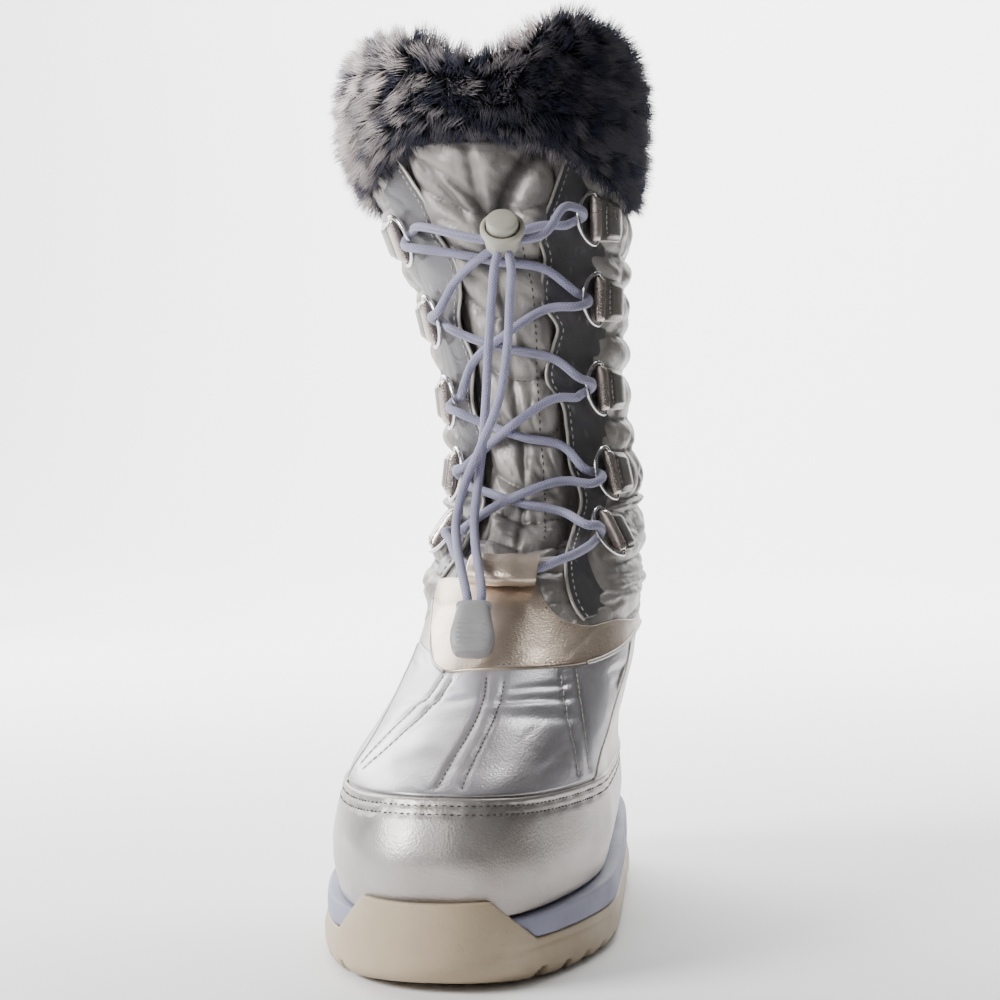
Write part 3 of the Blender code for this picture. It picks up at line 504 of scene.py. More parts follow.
def shell(name: str, outer: Array, inner: Array, wrap: bool = False,
          marks: Optional[dict[str, Array]] = None, thin: int = 4) -> bpy.types.Mesh:
    """A closed solid between two grids of points, joined along its border.

    Args:
        name: the mesh's name.
        outer: outer face's points, rows by columns by 3.
        inner: inner face's points, alike.
        wrap: whether the columns close on themselves.
        marks: float attributes on the outer grid, repeated on the inner.
        thin: how many points of the outer grid there are to one kept on the hidden inner one.

    Returns:
        The mesh, with a UV map in metres.
    """
    rows, cols = outer.shape[:2]
    size = rows * cols

    def keep(count: int) -> Array:
        """Places kept along a side, both ends among them."""
        return np.round(np.linspace(0, count - 1, max(2, (count - 1) // thin + 1))).astype(int)

    kept_r, kept_c = keep(rows), np.arange(0, cols, thin) if wrap else keep(cols)
    kept = np.ix_(kept_r, kept_c)
    index = np.arange(size).reshape(rows, cols)
    back = np.arange(len(kept_r) * len(kept_c)).reshape(len(kept_r), -1) + size
    if wrap:
        index = np.concatenate([index, index[:, :1]], axis=1)
        back = np.concatenate([back, back[:, :1]], axis=1)
        kept_c = np.append(kept_c, cols)
    last = index.shape[1] - 1
    border = [joined(index[0], back[0], kept_c),
              joined(index[-1, ::-1], back[-1, ::-1], (last - kept_c)[::-1])]
    if not wrap:
        border += [joined(index[:, -1], back[:, -1], kept_r),
                   joined(index[::-1, 0], back[::-1, 0], (rows - 1 - kept_r)[::-1])]
    rear = quads(len(kept_r), len(kept_c) - int(wrap), wrap)[:, ::-1] + size
    uv = np.stack([lengths(outer, 1), lengths(outer, 0)], axis=-1)
    uv = np.concatenate([uv.reshape(-1, 2), uv[kept].reshape(-1, 2)])
    marks = {key: np.append(value.ravel(), value[kept].ravel())
             for key, value in (marks or {}).items()}
    points = np.concatenate([outer.reshape(-1, 3), inner[kept].reshape(-1, 3)])
    faces = [quads(rows, cols, wrap), rear, np.concatenate(border)]
    return mesh_of(name, points, faces, uv, marks)


def resample(points: Array, gap: float) -> Array:
    """Points at even steps of about the gap along a smooth curve through a line's points.

    Args:
        points: the line's points, n by 3.
        gap: distance between the new points.

    Returns:
        The new points, m by 3.
    """
    points = np.asarray(points, float)
    at = run_along(points)
    place = np.linspace(0, at[-1], max(4, int(at[-1] / gap) + 1))
    return np.stack([smooth(place, at, points[:, k]) for k in range(3)], axis=-1)


def tube(name: str, path: Array, radius: float, sides: int = 12, closed: bool = False,
         across: Sequence[float] = (0, 0, 1), flat: float = 1.0) -> bpy.types.Mesh:
    """A round tube along a path: at each point a circle square to the path.

    Args:
        name: the mesh's name.
        path: points, n by 3.
        radius: the tube's radius.
        sides: points round the tube.
        closed: whether the path closes on itself; an open one gets domed ends.
        across: a direction that the path never runs along, or one for each point.
        flat: thickness across over that along the given direction.

    Returns:
        The mesh, with a UV map in metres.
    """
    path = np.asarray(path, float)
    dome = np.radians([2, 35, 65])

    def extended(values: Array) -> Array:
        """Values with the first and the last repeated for the domes' rings."""
        return np.pad(values, ((len(dome), len(dome)), (0, 0)), mode="edge")

    if closed:
        along = unit(np.roll(path, -1, axis=0) - np.roll(path, 1, axis=0))
        sizes = np.full(len(path), radius)
    else:
        along = unit(np.gradient(path, axis=0))
        lift = radius * np.cos(dome)
        sizes = radius * np.concatenate([np.sin(dome), np.ones(len(path)), np.sin(dome)[::-1]])
        path = np.concatenate([path[0] - along[0] * lift[:, None], path,
                               path[-1] + along[-1] * lift[::-1, None]])
        along = extended(along)
    guide = np.asarray(across, float)
    guide = np.broadcast_to(guide, along.shape) if guide.ndim == 1 else extended(guide)
    one = unit(np.cross(along, guide))
    two = unit(np.cross(one, along))
    turn = np.linspace(0, 2 * math.pi, sides, endpoint=False)
    ring = (one[:, None] * np.cos(turn)[None, :, None] * flat
            + two[:, None] * np.sin(turn)[None, :, None])
    points = path[:, None] + ring * sizes[:, None, None]
    rows = len(path)
    face = quads(rows, sides, wrap=True)
    if closed:
        last = np.arange(sides) + (rows - 1) * sides
        first = np.arange(sides)
        face = np.concatenate([face, np.stack([last, np.roll(last, -1), np.roll(first, -1),
                                               first], axis=-1)])
    uv = np.stack(np.broadcast_arrays(run_along(path)[:, None], (turn * radius)[None, :]), axis=-1)
    mesh = mesh_of(name, points.reshape(-1, 3), face, uv.reshape(-1, 2))
    return mesh if closed else mended(mesh, fill=True)


def many(name: str, shape: Array, faces: Array, places: Array, frames: Array) -> bpy.types.Mesh:
    """Copies of one small shape in one mesh.

    Args:
        name: the mesh's name.
        shape: the shape's points, n by 3.
        faces: its faces.
        places: where each copy goes, m by 3.
        frames: each copy's axes as rows, m by 3 by 3.

    Returns:
        The mesh.
    """
    points = places[:, None] + np.einsum("nk,mkj->mnj", shape, frames)
    index = faces[None] + (np.arange(len(places)) * len(shape))[:, None, None]
    return mesh_of(name, points.reshape(-1, 3), index.reshape(-1, faces.shape[1]))


def capsule(length: float, width: float, height: float) -> tuple[Array, Array]:
    """A stitch: four rings of six points along X, narrow and closed at both ends.

    Args:
        length: its length.
        width: its width on the cloth.
        height: its height.

    Returns:
        Its points and its faces.
    """
    share = np.array([-1.0, -0.6, 0.6, 1.0])
    size = np.sqrt(1 - share ** 2 * 0.93)
    turn = np.radians(np.arange(6) * 60.0)
    points = np.stack(np.broadcast_arrays(
        share[:, None] * length / 2, np.cos(turn) * size[:, None] * width / 2,
        np.sin(turn) * size[:, None] * height / 2), axis=-1).reshape(-1, 3)
    ends = np.array([[3, 2, 1, 0], [0, 5, 4, 3], [18, 19, 20, 21], [21, 22, 23, 18]])
    return points, np.concatenate([quads(4, 6, wrap=True), ends])


def sewn(name: str, line: Array, first: float, kind: Stitch,
         facing: Callable[[Array, Array], Array]) -> bpy.types.Mesh:
    """Stitches at an even pitch along a line.

    Args:
        name: the mesh's name.
        line: points of the line.
        first: distance run at the first stitch.
        kind: the kind of stitch.
        facing: gives the way out of the cloth from the stitches' distances and the line's.

    Returns:
        The mesh.
    """
    run = run_along(line)
    at = np.arange(first, run[-1], kind.pitch)
    places = read_at(at, run, line)
    along = unit(read_at(at + 1e-4, run, line) - places)
    across = unit(np.cross(facing(at, run), along))
    shape, faces = capsule(kind.length, kind.width, kind.height)
    frames = np.stack([along, across, np.cross(along, across)], axis=1)
    return many(name, shape, faces, places, frames)


class Graph:
    """A material's nodes, joined up by small calls."""

    def __init__(self, name: str) -> None:
        """Start a material with its principled shader.

        Args:
            name: the material's name.
        """
        self.material = bpy.data.materials.new(name)
        self.material.use_nodes = True
        self.tree = self.material.node_tree
        self.shader = self.tree.nodes["Principled BSDF"]

    def node(self, kind: str, inputs: dict, **settings: object) -> bpy.types.Node:
        """Add a node, set it and join its inputs to values or sockets.

        Args:
            kind: the node's type, without its prefix.
            inputs: values or sockets by input.
            settings: the node's own settings.

        Returns:
            The node.
        """
        made = self.tree.nodes.new("ShaderNode" + kind)
        for key, value in settings.items():
            setattr(made, key, value)
        for key, value in inputs.items():
            if isinstance(value, bpy.types.NodeSocket):
                self.tree.links.new(value, made.inputs[key])
            else:
                made.inputs[key].default_value = value
        return made

    def place(self, scale: Sequence[float] = (1, 1, 1), uv: bool = False) -> Socket:
        """Object coordinates, or the piece's UV map, scaled along each axis."""
        found = self.node("TexCoord", {}).outputs["UV" if uv else "Object"]
        return self.node("Mapping", {"Vector": found, "Scale": scale}).outputs["Vector"]

    def mark(self, name: str) -> Socket:
        """A float attribute of the piece."""
        return self.node("Attribute", {}, attribute_name=name).outputs["Fac"]

    def noise(self, vector: Socket, scale: float, detail: float = 3.0,
              rough: float = 0.5) -> Socket:
        """Noise from 0 to 1."""
        return self.node("TexNoise", {"Vector": vector, "Scale": scale, "Detail": detail,
                                      "Roughness": rough}).outputs["Fac"]

    def cells(self, vector: Socket, scale: float) -> Socket:
        """Distance to the middle of the nearest cell."""
        return self.node("TexVoronoi", {"Vector": vector, "Scale": scale}).outputs["Distance"]

    def span(self, value: Value, low: float, high: float, to_low: float = 0.0,
             to_high: float = 1.0) -> Socket:
        """A value's range mapped to another and clamped."""
        return self.node("MapRange", {"Value": value, "From Min": low, "From Max": high,
                                      "To Min": to_low, "To Max": to_high}).outputs["Result"]

    def math(self, operation: str, one: Value, two: Value = 0.0) -> Socket:
        """A sum or other operation on two values."""
        return self.node("Math", {0: one, 1: two}, operation=operation).outputs[0]

    def mix(self, factor: Value, one: Socket | Colour, two: Socket | Colour) -> Socket:
        """A blend of two colours.

        Args:
            factor: share of the second colour.
            one: the first colour.
            two: the second colour.

        Returns:
            The blend.
        """
        made = self.tree.nodes.new("ShaderNodeMix")
        made.data_type = "RGBA"
        for index, value in ((0, factor), (6, one), (7, two)):
            if isinstance(value, bpy.types.NodeSocket):
                self.tree.links.new(value, made.inputs[index])
            elif index:
                made.inputs[index].default_value = (*value[:3], 1.0)
            else:
                made.inputs[index].default_value = value
        return made.outputs[2]

    def bump(self, height: Socket, distance: float, strength: float = 1.0,
             normal: Optional[Socket] = None) -> Socket:
        """A normal raised by a height.

        Args:
            height: heights from 0 to 1.
            distance: what a height of 1 stands for.
            strength: share of the effect.
            normal: a normal already raised.

        Returns:
            The normal.
        """
        inputs = {"Height": height, "Distance": distance, "Strength": strength}
        if normal is not None:
            inputs["Normal"] = normal
        return self.node("Bump", inputs).outputs["Normal"]

    def finish(self, colour: Socket | Sequence[float], roughness: Value,
               normal: Optional[Socket] = None, **sockets: float) -> bpy.types.Material:
        """Join the shader's inputs and return the material.

        Args:
            colour: base colour.
            roughness: roughness.
            normal: raised normal.
            sockets: the shader's other inputs, with _ for a space.

        Returns:
            The material.
        """
        for key, value in (("Base Color", colour), ("Roughness", roughness), ("Normal", normal)):
            if isinstance(value, bpy.types.NodeSocket):
                self.tree.links.new(value, self.shader.inputs[key])
            elif value is not None:
                self.shader.inputs[key].default_value = value
        for key, value in sockets.items():
            self.shader.inputs[key.replace("_", " ")].default_value = value
        return self.material


class Finish(Protocol):
    """What every finish has: its material's name, its slot and how the material is made."""

    name: str
    slot: str

    def material(self) -> bpy.types.Material:
        """A new material of this finish."""


@dataclass(frozen=True)
class SatinLeather:
    """Metallic coated leather: cloudy tone, fine grain, scuffs, and grime and painted shade by its
    seams, grooves and folds.
    """

    name: str
    slot: str
    light: Colour
    dark: Colour
    roughness: float = 0.40
    metallic: float = 0.45
    grain: float = 1100.0

    def material(self) -> bpy.types.Material:
        """Noise clouds blend two tones, the tone mark adds grime and painted shade, cells make the
        grain.

        Returns:
            The material.
        """
        graph = Graph(self.name)
        place = graph.place()
        cloud = graph.span(graph.noise(place, 22.0, 4.0), 0.35, 0.68)
        base = graph.mix(cloud, self.light, self.dark)
        warm = graph.span(graph.noise(place, 11.0, 2.0), 0.40, 0.66, 0.0, 0.30)
        base = graph.mix(warm, base, tuple(c * w for c, w in zip(self.light, (1.05, 0.95, 0.84))))
        scuff = graph.noise(graph.place((60.0, 420.0, 160.0)), 1.0, 5.0, 0.62)
        base = graph.mix(graph.span(scuff, 0.62, 0.74, 0.0, 0.28), base, (0.74, 0.73, 0.76))
        fleck = graph.span(graph.noise(place, 170.0, 5.0, 0.7), 0.62, 0.80, 0.0, 0.35)
        base = graph.mix(fleck, base, tuple(c * 0.55 for c in self.dark))
        # the tone mark darkens seams, grooves, folds and pad edges: painted shade, with some grime at
        # the seams
        base = graph.mix(graph.mark("tone"), base, (0.06, 0.052, 0.048))
        rough = graph.span(graph.noise(place, 60.0, 3.0), 0.3, 0.7,
                           self.roughness - 0.05, self.roughness + 0.09)
        pores = graph.bump(graph.cells(place, self.grain), 0.00012, 0.6)
        folds = graph.bump(graph.noise(place, 70.0, 3.0, 0.5), 0.0006, 0.35, pores)
        return graph.finish(base, rough, folds, Metallic=self.metallic, Specular_IOR_Level=0.5)


@dataclass(frozen=True)
class QuiltNylon:
    """Satin coated nylon: fine weave, soft crinkles, and painted shade in its folds and between its
    quilting puffs.
    """

    name: str
    slot: str
    light: Colour
    dark: Colour

    def material(self) -> bpy.types.Material:
        """Crossed fine waves make the weave; noise makes crinkles and tone; the tone mark paints
        shade in folds and seams.

        Returns:
            The material.
        """
        graph = Graph(self.name)
        place = graph.place()
        cloud = graph.span(graph.noise(place, 38.0, 4.0, 0.6), 0.34, 0.66)
        base = graph.mix(cloud, self.light, self.dark)
        # painted shade in the folds and between the puffs, from the tone mark
        base = graph.mix(graph.mark("tone"), base, (0.05, 0.046, 0.045))
        weave = graph.math("MULTIPLY",
                           graph.node("TexWave", {"Vector": place, "Scale": 820.0},
                                      bands_direction="X").outputs["Fac"],
                           graph.node("TexWave", {"Vector": place, "Scale": 820.0},
                                      bands_direction="Z").outputs["Fac"])
        fine = graph.bump(weave, 0.00008, 0.5)
        crinkle = graph.bump(graph.noise(place, 85.0, 4.0, 0.55), 0.0020, 0.7, fine)
        rough = graph.span(graph.noise(place, 80.0, 3.0), 0.3, 0.7, 0.34, 0.46)
        return graph.finish(base, rough, crinkle, Metallic=0.45, Sheen_Weight=0.05)


@dataclass(frozen=True)
class MouldedRubber:
    """Semi-matte rubber or foam with a faint skin and dirt low down."""

    name: str
    slot: str
    light: Colour
    dark: Colour
    roughness: float = 0.52
    pits: float = 900.0
    dirt: Colour = (0.20, 0.17, 0.13)

    def material(self) -> bpy.types.Material:
        """Noise blends two tones, the tone mark adds dirt, cells make pits.

        Returns:
            The material.
        """
        graph = Graph(self.name)
        place = graph.place()
        base = graph.mix(graph.span(graph.noise(place, 26.0, 4.0), 0.35, 0.68),
                         self.light, self.dark)
        speck = graph.span(graph.noise(place, 420.0, 4.0, 0.7), 0.62, 0.78, 0.0, 0.35)
        base = graph.mix(speck, base, self.dirt)
        base = graph.mix(graph.mark("tone"), base, self.dirt)
        rough = graph.span(graph.noise(place, 70.0, 3.0), 0.3, 0.7,
                           self.roughness - 0.08, self.roughness + 0.10)
        pits = graph.bump(graph.cells(place, self.pits), 0.00010, 0.5)
        waves = graph.bump(graph.noise(place, 140.0, 3.0), 0.0004, 0.4, pits)
        return graph.finish(base, rough, waves)


@dataclass(frozen=True)
class BraidedCord:
    """Round braided lace, its strands crossing along the UV map."""

    name: str = "braided_lace"
    slot: str = "lace_cord"
    light: Colour = (0.33, 0.32, 0.47)
    dark: Colour = (0.17, 0.165, 0.25)

    def material(self) -> bpy.types.Material:
        """Two slanted waves over the UV map cross into a braid.

        Returns:
            The material.
        """
        graph = Graph(self.name)
        spot = graph.place(uv=True)
        waves = []
        for slant in (0.75, -0.75):
            turned = graph.node("Mapping", {"Vector": spot, "Rotation": (0, 0, slant)})
            waves.append(graph.node("TexWave", {"Vector": turned.outputs["Vector"],
                                                "Scale": 330.0}).outputs["Fac"])
        braid = graph.math("MULTIPLY", *waves)
        cloud = graph.noise(graph.place(), 55.0, 3.0)
        base = graph.mix(graph.span(cloud, 0.3, 0.7), self.light,
                         tuple(0.78 * c for c in self.light))
        # painted shade in the braid's grooves between its strands
        base = graph.mix(graph.span(braid, 0.0, 0.45, 0.75, 0.0), base, self.dark)
        return graph.finish(base, 0.68, graph.bump(braid, 0.00025, 0.8), Sheen_Weight=0.25)


@dataclass(frozen=True)
class PlatedMetal:
    """Bright plated wire with faint scratches."""

    name: str = "plated_wire"
    slot: str = "ring_metal"
    colour: Colour = (0.78, 0.77, 0.78)

    def material(self) -> bpy.types.Material:
        """Stretched noise roughens a bright metal.

        Returns:
            The material.
        """
        graph = Graph(self.name)
        place = graph.place((200.0, 900.0, 500.0))
        scratch = graph.noise(place, 1.0, 4.0, 0.6)
        rough = graph.span(scratch, 0.35, 0.75, 0.12, 0.30)
        base = graph.mix(graph.span(scratch, 0.5, 0.8, 0.0, 0.5), self.colour, (0.5, 0.48, 0.46))
        return graph.finish(base, rough, graph.bump(scratch, 0.00005, 0.3), Metallic=1.0)


@dataclass(frozen=True)
class MouldedPlastic:
    """Matte moulded plastic with a fine spark texture and painted shade where the tone mark is set.
    """

    name: str
    slot: str
    colour: Colour
    roughness: float = 0.42

    def material(self) -> bpy.types.Material:
        """Fine noise breaks up tone, gloss and surface.

        Returns:
            The material.
        """
        graph = Graph(self.name)
        place = graph.place()
        cloud = graph.span(graph.noise(place, 120.0, 4.0), 0.35, 0.7)
        base = graph.mix(cloud, self.colour, tuple(0.86 * c for c in self.colour))
        # painted shade from the tone mark, set inside the lock's bore
        base = graph.mix(graph.mark("tone"), base, (0.06, 0.06, 0.06))
        spark = graph.noise(place, 1500.0, 2.0)
        rough = graph.span(spark, 0.3, 0.7, self.roughness - 0.05, self.roughness + 0.08)
        return graph.finish(base, rough, graph.bump(spark, 0.00006, 0.4))


@dataclass(frozen=True)
class FurHair:
    """Hair that is dark at its root and pale at its tip, by the marks on each hair, with painted
    light on the cuff's lit side.
    """

    name: str = "fur_hair"
    slot: str = "dark_fur"

    def material(self) -> bpy.types.Material:
        """The tip mark runs up a hair; the shade mark lightens one lock or another, and paints light
        on hairs facing the lateral side or up.

        Returns:
            The material.
        """
        graph = Graph(self.name)
        tip = graph.mark("tip")
        shade = graph.mark("shade")
        # the shade mark is partly random per lock and partly painted light on the side facing the key
        # light
        root = graph.mix(shade, (0.004, 0.005, 0.011), (0.070, 0.060, 0.062))
        pale = graph.mix(shade, (0.022, 0.026, 0.052), (1.0, 0.88, 0.84))
        base = graph.mix(graph.span(tip, 0.05, 0.62), root, pale)
        return graph.finish(base, 0.60, None, Specular_IOR_Level=0.30)


@dataclass(frozen=True)
class SoftFelt:
    """Felt or fleece with a short matted nap."""

    name: str
    slot: str
    colour: Colour

    def material(self) -> bpy.types.Material:
        """Layered noise makes a matted nap.

        Returns:
            The material.
        """
        graph = Graph(self.name)
        place = graph.place()
        nap = graph.noise(place, 480.0, 5.0, 0.7)
        base = graph.mix(graph.span(nap, 0.3, 0.7), self.colour,
                         tuple(0.55 * c for c in self.colour))
        return graph.finish(base, 0.95, graph.bump(nap, 0.0008, 0.8), Sheen_Weight=0.3)


@dataclass(frozen=True)
class Thread:
    """Sewing thread with a tight twist."""

    name: str
    slot: str
    colour: Colour

    def material(self) -> bpy.types.Material:
        """Fine noise stands for the twist.

        Returns:
            The material.
        """
        graph = Graph(self.name)
        twist = graph.noise(graph.place(), 1800.0, 2.0)
        base = graph.mix(graph.span(twist, 0.3, 0.7), self.colour,
                         tuple(0.6 * c for c in self.colour))
        return graph.finish(base, 0.7, graph.bump(twist, 0.0001, 0.6))


SHELL = SatinLeather("silver_leather", "silver_shell", (0.51, 0.485, 0.475), (0.38, 0.352, 0.338),
                     metallic=0.80)
VAMP = SatinLeather("vamp_leather", "silver_shell", (0.54, 0.53, 0.57), (0.40, 0.39, 0.41),
                    roughness=0.36, metallic=0.78)
SADDLE = SatinLeather("champagne_leather", "silver_overlay", (0.60, 0.49, 0.39),
                      (0.48, 0.395, 0.32), roughness=0.33, metallic=0.80)
STAY = SatinLeather("grey_leather", "silver_overlay", (0.17, 0.165, 0.175), (0.11, 0.108, 0.113),
                    metallic=0.75, roughness=0.36)
TAB = SatinLeather("tab_leather", "silver_overlay", (0.32, 0.305, 0.29), (0.21, 0.20, 0.19),
                   roughness=0.32, metallic=0.80)
# FOLD paints a highlight on each tab's fold round the bar: lighter and glossier than the tab
FOLD = SatinLeather("fold_painted_highlight", "silver_overlay", (0.66, 0.58, 0.54), (0.50, 0.43, 0.40),
                    roughness=0.24, metallic=0.90)
PIPING = SatinLeather("pale_piping", "silver_overlay", (0.56, 0.53, 0.49), (0.42, 0.40, 0.37),
                      metallic=0.60)
QUILT = QuiltNylon("tongue_nylon", "quilted_nylon", (0.34, 0.315, 0.295), (0.24, 0.222, 0.210))
SHAFT = QuiltNylon("shaft_nylon", "silver_shell", (0.36, 0.338, 0.315), (0.22, 0.205, 0.192))
RUBBER = MouldedRubber("tan_rubber", "sole_rubber", (0.46, 0.37, 0.255), (0.39, 0.305, 0.205))
FOAM = MouldedRubber("lavender_foam", "midsole_foam", (0.30, 0.305, 0.41), (0.22, 0.22, 0.30),
                     roughness=0.6, pits=1500.0, dirt=(0.20, 0.20, 0.27))
LACE = BraidedCord()
METAL = PlatedMetal()
LOCK = MouldedPlastic("lock_resin", "lock_plastic", (0.38, 0.36, 0.30))
CLIP = MouldedPlastic("clip_resin", "clip_plastic", (0.30, 0.29, 0.295))
HAIR = FurHair()
FELT = SoftFelt("footbed_felt", "insole_felt", (0.22, 0.22, 0.24))
FLEECE = SoftFelt("lining_fleece", "silver_shell", (0.16, 0.15, 0.17))
DARK_THREAD = Thread("dark_thread", "silver_overlay", (0.075, 0.062, 0.052))
PALE_THREAD = Thread("pale_thread", "silver_overlay", (0.56, 0.54, 0.50))


LOOKS: dict[str, bpy.types.Material] = {}


def look(finish: Finish) -> bpy.types.Material:
    """The finish's material, made once.

    Args:
        finish: the finish.

    Returns:
        The material.
    """
    if finish.name not in LOOKS:
        LOOKS[finish.name] = finish.material()
    return LOOKS[finish.name]


def linked(name: str, data: bpy.types.ID) -> bpy.types.Object:
    """A new object that shows in the scene.

    Args:
        name: the object's name.
        data: its mesh, light or camera.

    Returns:
        The object.
    """
    made = bpy.data.objects.new(name, data)
    bpy.context.scene.collection.objects.link(made)
    return made


def add_piece(mesh: bpy.types.Mesh, finish: Finish, replaces: Sequence[str] = (),
              body: str = BOOT) -> bpy.types.Object:
    """Put a finished mesh in the scene with its finish, on its body.

    Args:
        mesh: the finished mesh, in place.
        finish: the finish whose material it takes.
        replaces: names of the solids that it stands for.
        body: the body that it rides on.

    Returns:
        The piece.
    """
    piece = linked(mesh.name, mesh)
    mesh.materials.append(look(finish))
    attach(piece, body)
    if replaces:
        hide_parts(*replaces)
    LOG.info("%s: %d faces on %s", piece.name, len(mesh.polygons), body)
    return piece


@dataclass
class Sole:
    """Rubber cup, foam wedge and footbed."""

    last: Last
    columns: int = 480
    tread_bevel: float = 0.0050
    rubber_wall: float = 0.0035
    foam_lip: float = 0.0012
    clear: float = 0.0003
    tray_toe: float = 0.0105
    tray_heel: float = 0.0090
    bumper: float = 0.030
    side_rim: float = 0.015
    heel_rim: float = 0.021
    lug_depth: float = 0.0042
    lug_gap: float = 0.0050
    lug_pitch: float = 0.0155
    lug_round: float = 0.00045
    lug_reach: float = 0.0085
    rim_round: float = 0.0009
    foam_round: float = 0.0012
    foam_least: float = 0.0030
    felt_round: float = 0.001
    insole_inset: float = 0.0114
    insole_thick: float = 0.0035

    def __post_init__(self) -> None:
        """Angles of the columns."""
        self.theta = np.arange(self.columns) * 2 * math.pi / self.columns

    def tray(self, y: Array) -> Array:
        """Height of the rubber's inner floor."""
        return self.tray_toe + (self.tray_heel - self.tray_toe) * self.last.share(y)

    def rim(self) -> Array:
        """Rim's height: low at the sides, higher at the heel, a chamfered bumper at the toe.

        Returns:
            A height for each column.
        """
        _, y = self.last.outline(self.theta, 0.0)
        share = self.last.share(y)
        side = self.side_rim + (self.heel_rim - self.side_rim) * np.clip((share - 0.7) / 0.3,
                                                                         0, 1) ** 2
        turn = wrapped(np.degrees(self.theta))
        start = np.where(turn >= 0, 17, 24)
        end = np.where(turn >= 0, 33, 38)
        up = np.clip((end - np.abs(turn)) / (end - start), 0, 1)
        return side + (self.bumper - side) * up

    def gaps(self, y: Array) -> Array:
        """Depth of the gaps between the lugs at y: a soft-edged trench at each pitch.

        Args:
            y: places along the foot.

        Returns:
            Depths.
        """
        length = self.last.sole_length
        starts = np.append(-0.405 * length + np.arange(6) * self.lug_pitch,
                           0.255 * length + np.arange(4) * self.lug_pitch)
        near = np.abs(np.asarray(y)[..., None] - starts).min(axis=-1)
        half = self.lug_gap / 2 + 0.00005
        return self.lug_depth * (1 - step(near, half - self.lug_round, half + self.lug_round))

    def ring(self, inset: Array, height: Array) -> Array:
        """Outline drawn in by an inset, at heights for each column."""
        x, y = self.last.outline(self.theta, inset)
        return np.stack([x, y, np.broadcast_to(height, x.shape)], axis=-1)

    def rounding(self, inset: Array, top: Array, radius: float,
                 degrees: Sequence[float]) -> list[Array]:
        """Rings over a rounded top edge.

        Args:
            inset: inset of the wall below the edge.
            top: height of the edge's top.
            radius: the edge's radius.
            degrees: places on the edge, from 0 at the wall to 90 on top.

        Returns:
            The rings, from below.
        """
        return [self.ring(inset + radius * (1 - math.cos(t)), top - radius * (1 - math.sin(t)))
                for t in np.radians(degrees)]

    def lofted(self, name: str, rings: Sequence[Array], relief: Callable[[Array], Array],
               across: int = 28, tone: Optional[Callable[[Array], Array]] = None
               ) -> bpy.types.Mesh:
        """Rings joined into a wall, closed below and above by straight rungs across.

        Args:
            name: the mesh's name.
            rings: rings of the wall, from below.
            relief: gives the points with the tread cut into them.
            across: steps of a rung.
            tone: gives the dirt at each point.

        Returns:
            The mesh.
        """
        rings = np.array(rings)
        count, cols = rings.shape[:2]
        half = cols // 2
        walls = quads(count, cols, wrap=True)
        points, faces = [rings.reshape(-1, 3)], [walls]
        size = count * cols
        share = np.linspace(0, 1, across + 1)[None, :, None]
        for ring, top in ((rings[0], False), (rings[-1], True)):
            right = ring[:half + 1]
            left = ring[(cols - np.arange(half + 1)) % cols]
            cap = right[:, None] * (1 - share) + left[:, None] * share
            face = quads(half + 1, across + 1) + size
            points.append(cap.reshape(-1, 3))
            faces.append(face if top else face[:, ::-1])
            size += cap.shape[0] * cap.shape[1]
        points = relief(np.concatenate(points))
        marks = {"tone": tone(points)} if tone else None
        mesh = mesh_of(name, points + self.last.shift, np.concatenate(faces), None, marks)
        return mended(mesh, merge=True)

    def outsole(self) -> None:
        """Cup: a rounded tread edge, a slightly full wall, a rounded rim and an inner floor."""
        _, y = self.last.outline(self.theta, 0.0)
        low, rim = self.last.ground(y), self.rim()
        bevel = self.tread_bevel
        rings = []
        for t in np.linspace(0, math.pi / 2, 9):
            rings.append(self.ring(bevel * (1 - math.sin(t)),
                                   low + bevel * 1.5 * (1 - math.cos(t))))
        start = low + bevel * 1.5
        for s in np.linspace(0.08, 1, 10):
            height = start + (rim - self.rim_round - start) * s
            groove = 0.00035 * np.exp(-((height - 0.0125) / 0.0007) ** 2)
            inset = self.foam_lip * 0.6 * s - 0.0004 * math.sin(math.pi * s) + groove
            rings.append(self.ring(inset, height))
        rings += self.rounding(self.foam_lip * 0.6, rim, self.rim_round, [30, 60, 90])
        rings.append(self.ring(self.rubber_wall, rim))
        rings.append(self.ring(self.rubber_wall, self.tray(y)))

        def cut(points: Array) -> Array:
            """Raise what lies lower than the gaps' floor.

            Args:
                points: the cup's points, changed in place.

            Returns:
                The same points.
            """
            floor = self.last.ground(points[:, 1]) + self.gaps(points[:, 1])
            low_down = points[:, 2] < self.lug_reach
            points[:, 2] = np.maximum(points[:, 2], np.where(low_down, floor, 0))
            return points

        def dirt(points: Array) -> Array:
            """Dirt in the tread and low on the wall."""
            return 0.39 * (1 - step(points[:, 2], 0.0005, 0.006))

        add_piece(self.lofted("outsole_cup", rings, cut, tone=dirt), RUBBER, ["outsole"])

    def midsole(self) -> None:
        """Foam wedge in the cup, stepping out over the side rims, with soft edges."""
        _, y = self.last.outline(self.theta, 0.0)
        rim, top = self.rim(), self.last.bed(y)
        inside = self.rubber_wall + self.clear
        under = top - self.foam_least
        tucked = (rim + self.clear > under).astype(float)
        wide = int(self.columns / 40)
        spread = np.convolve(np.tile(tucked, 3), np.ones(2 * wide + 1) / (2 * wide + 1), "same")
        tucked = step(spread[self.columns:2 * self.columns], 0.0, 0.7)
        lip = self.foam_lip + (inside - self.foam_lip) * tucked
        low = np.minimum(rim + self.clear, under)
        rings = [self.ring(inside, self.tray(y) + self.clear),
                 self.ring(inside, low - self.clear * tucked), self.ring(lip + 0.0004, low)]
        for s in np.linspace(0.1, 0.9, 7):
            full = 0.0003 * math.sin(math.pi * s) * (1 - tucked)
            rings.append(self.ring(lip - full, low + (top - self.foam_round - low) * s))
        rings += self.rounding(lip, top, self.foam_round, [0, 30, 60, 90])
        mesh = self.lofted("foam_wedge", rings, lambda points: points, 8)
        add_piece(mesh, FOAM, ["midsole"])

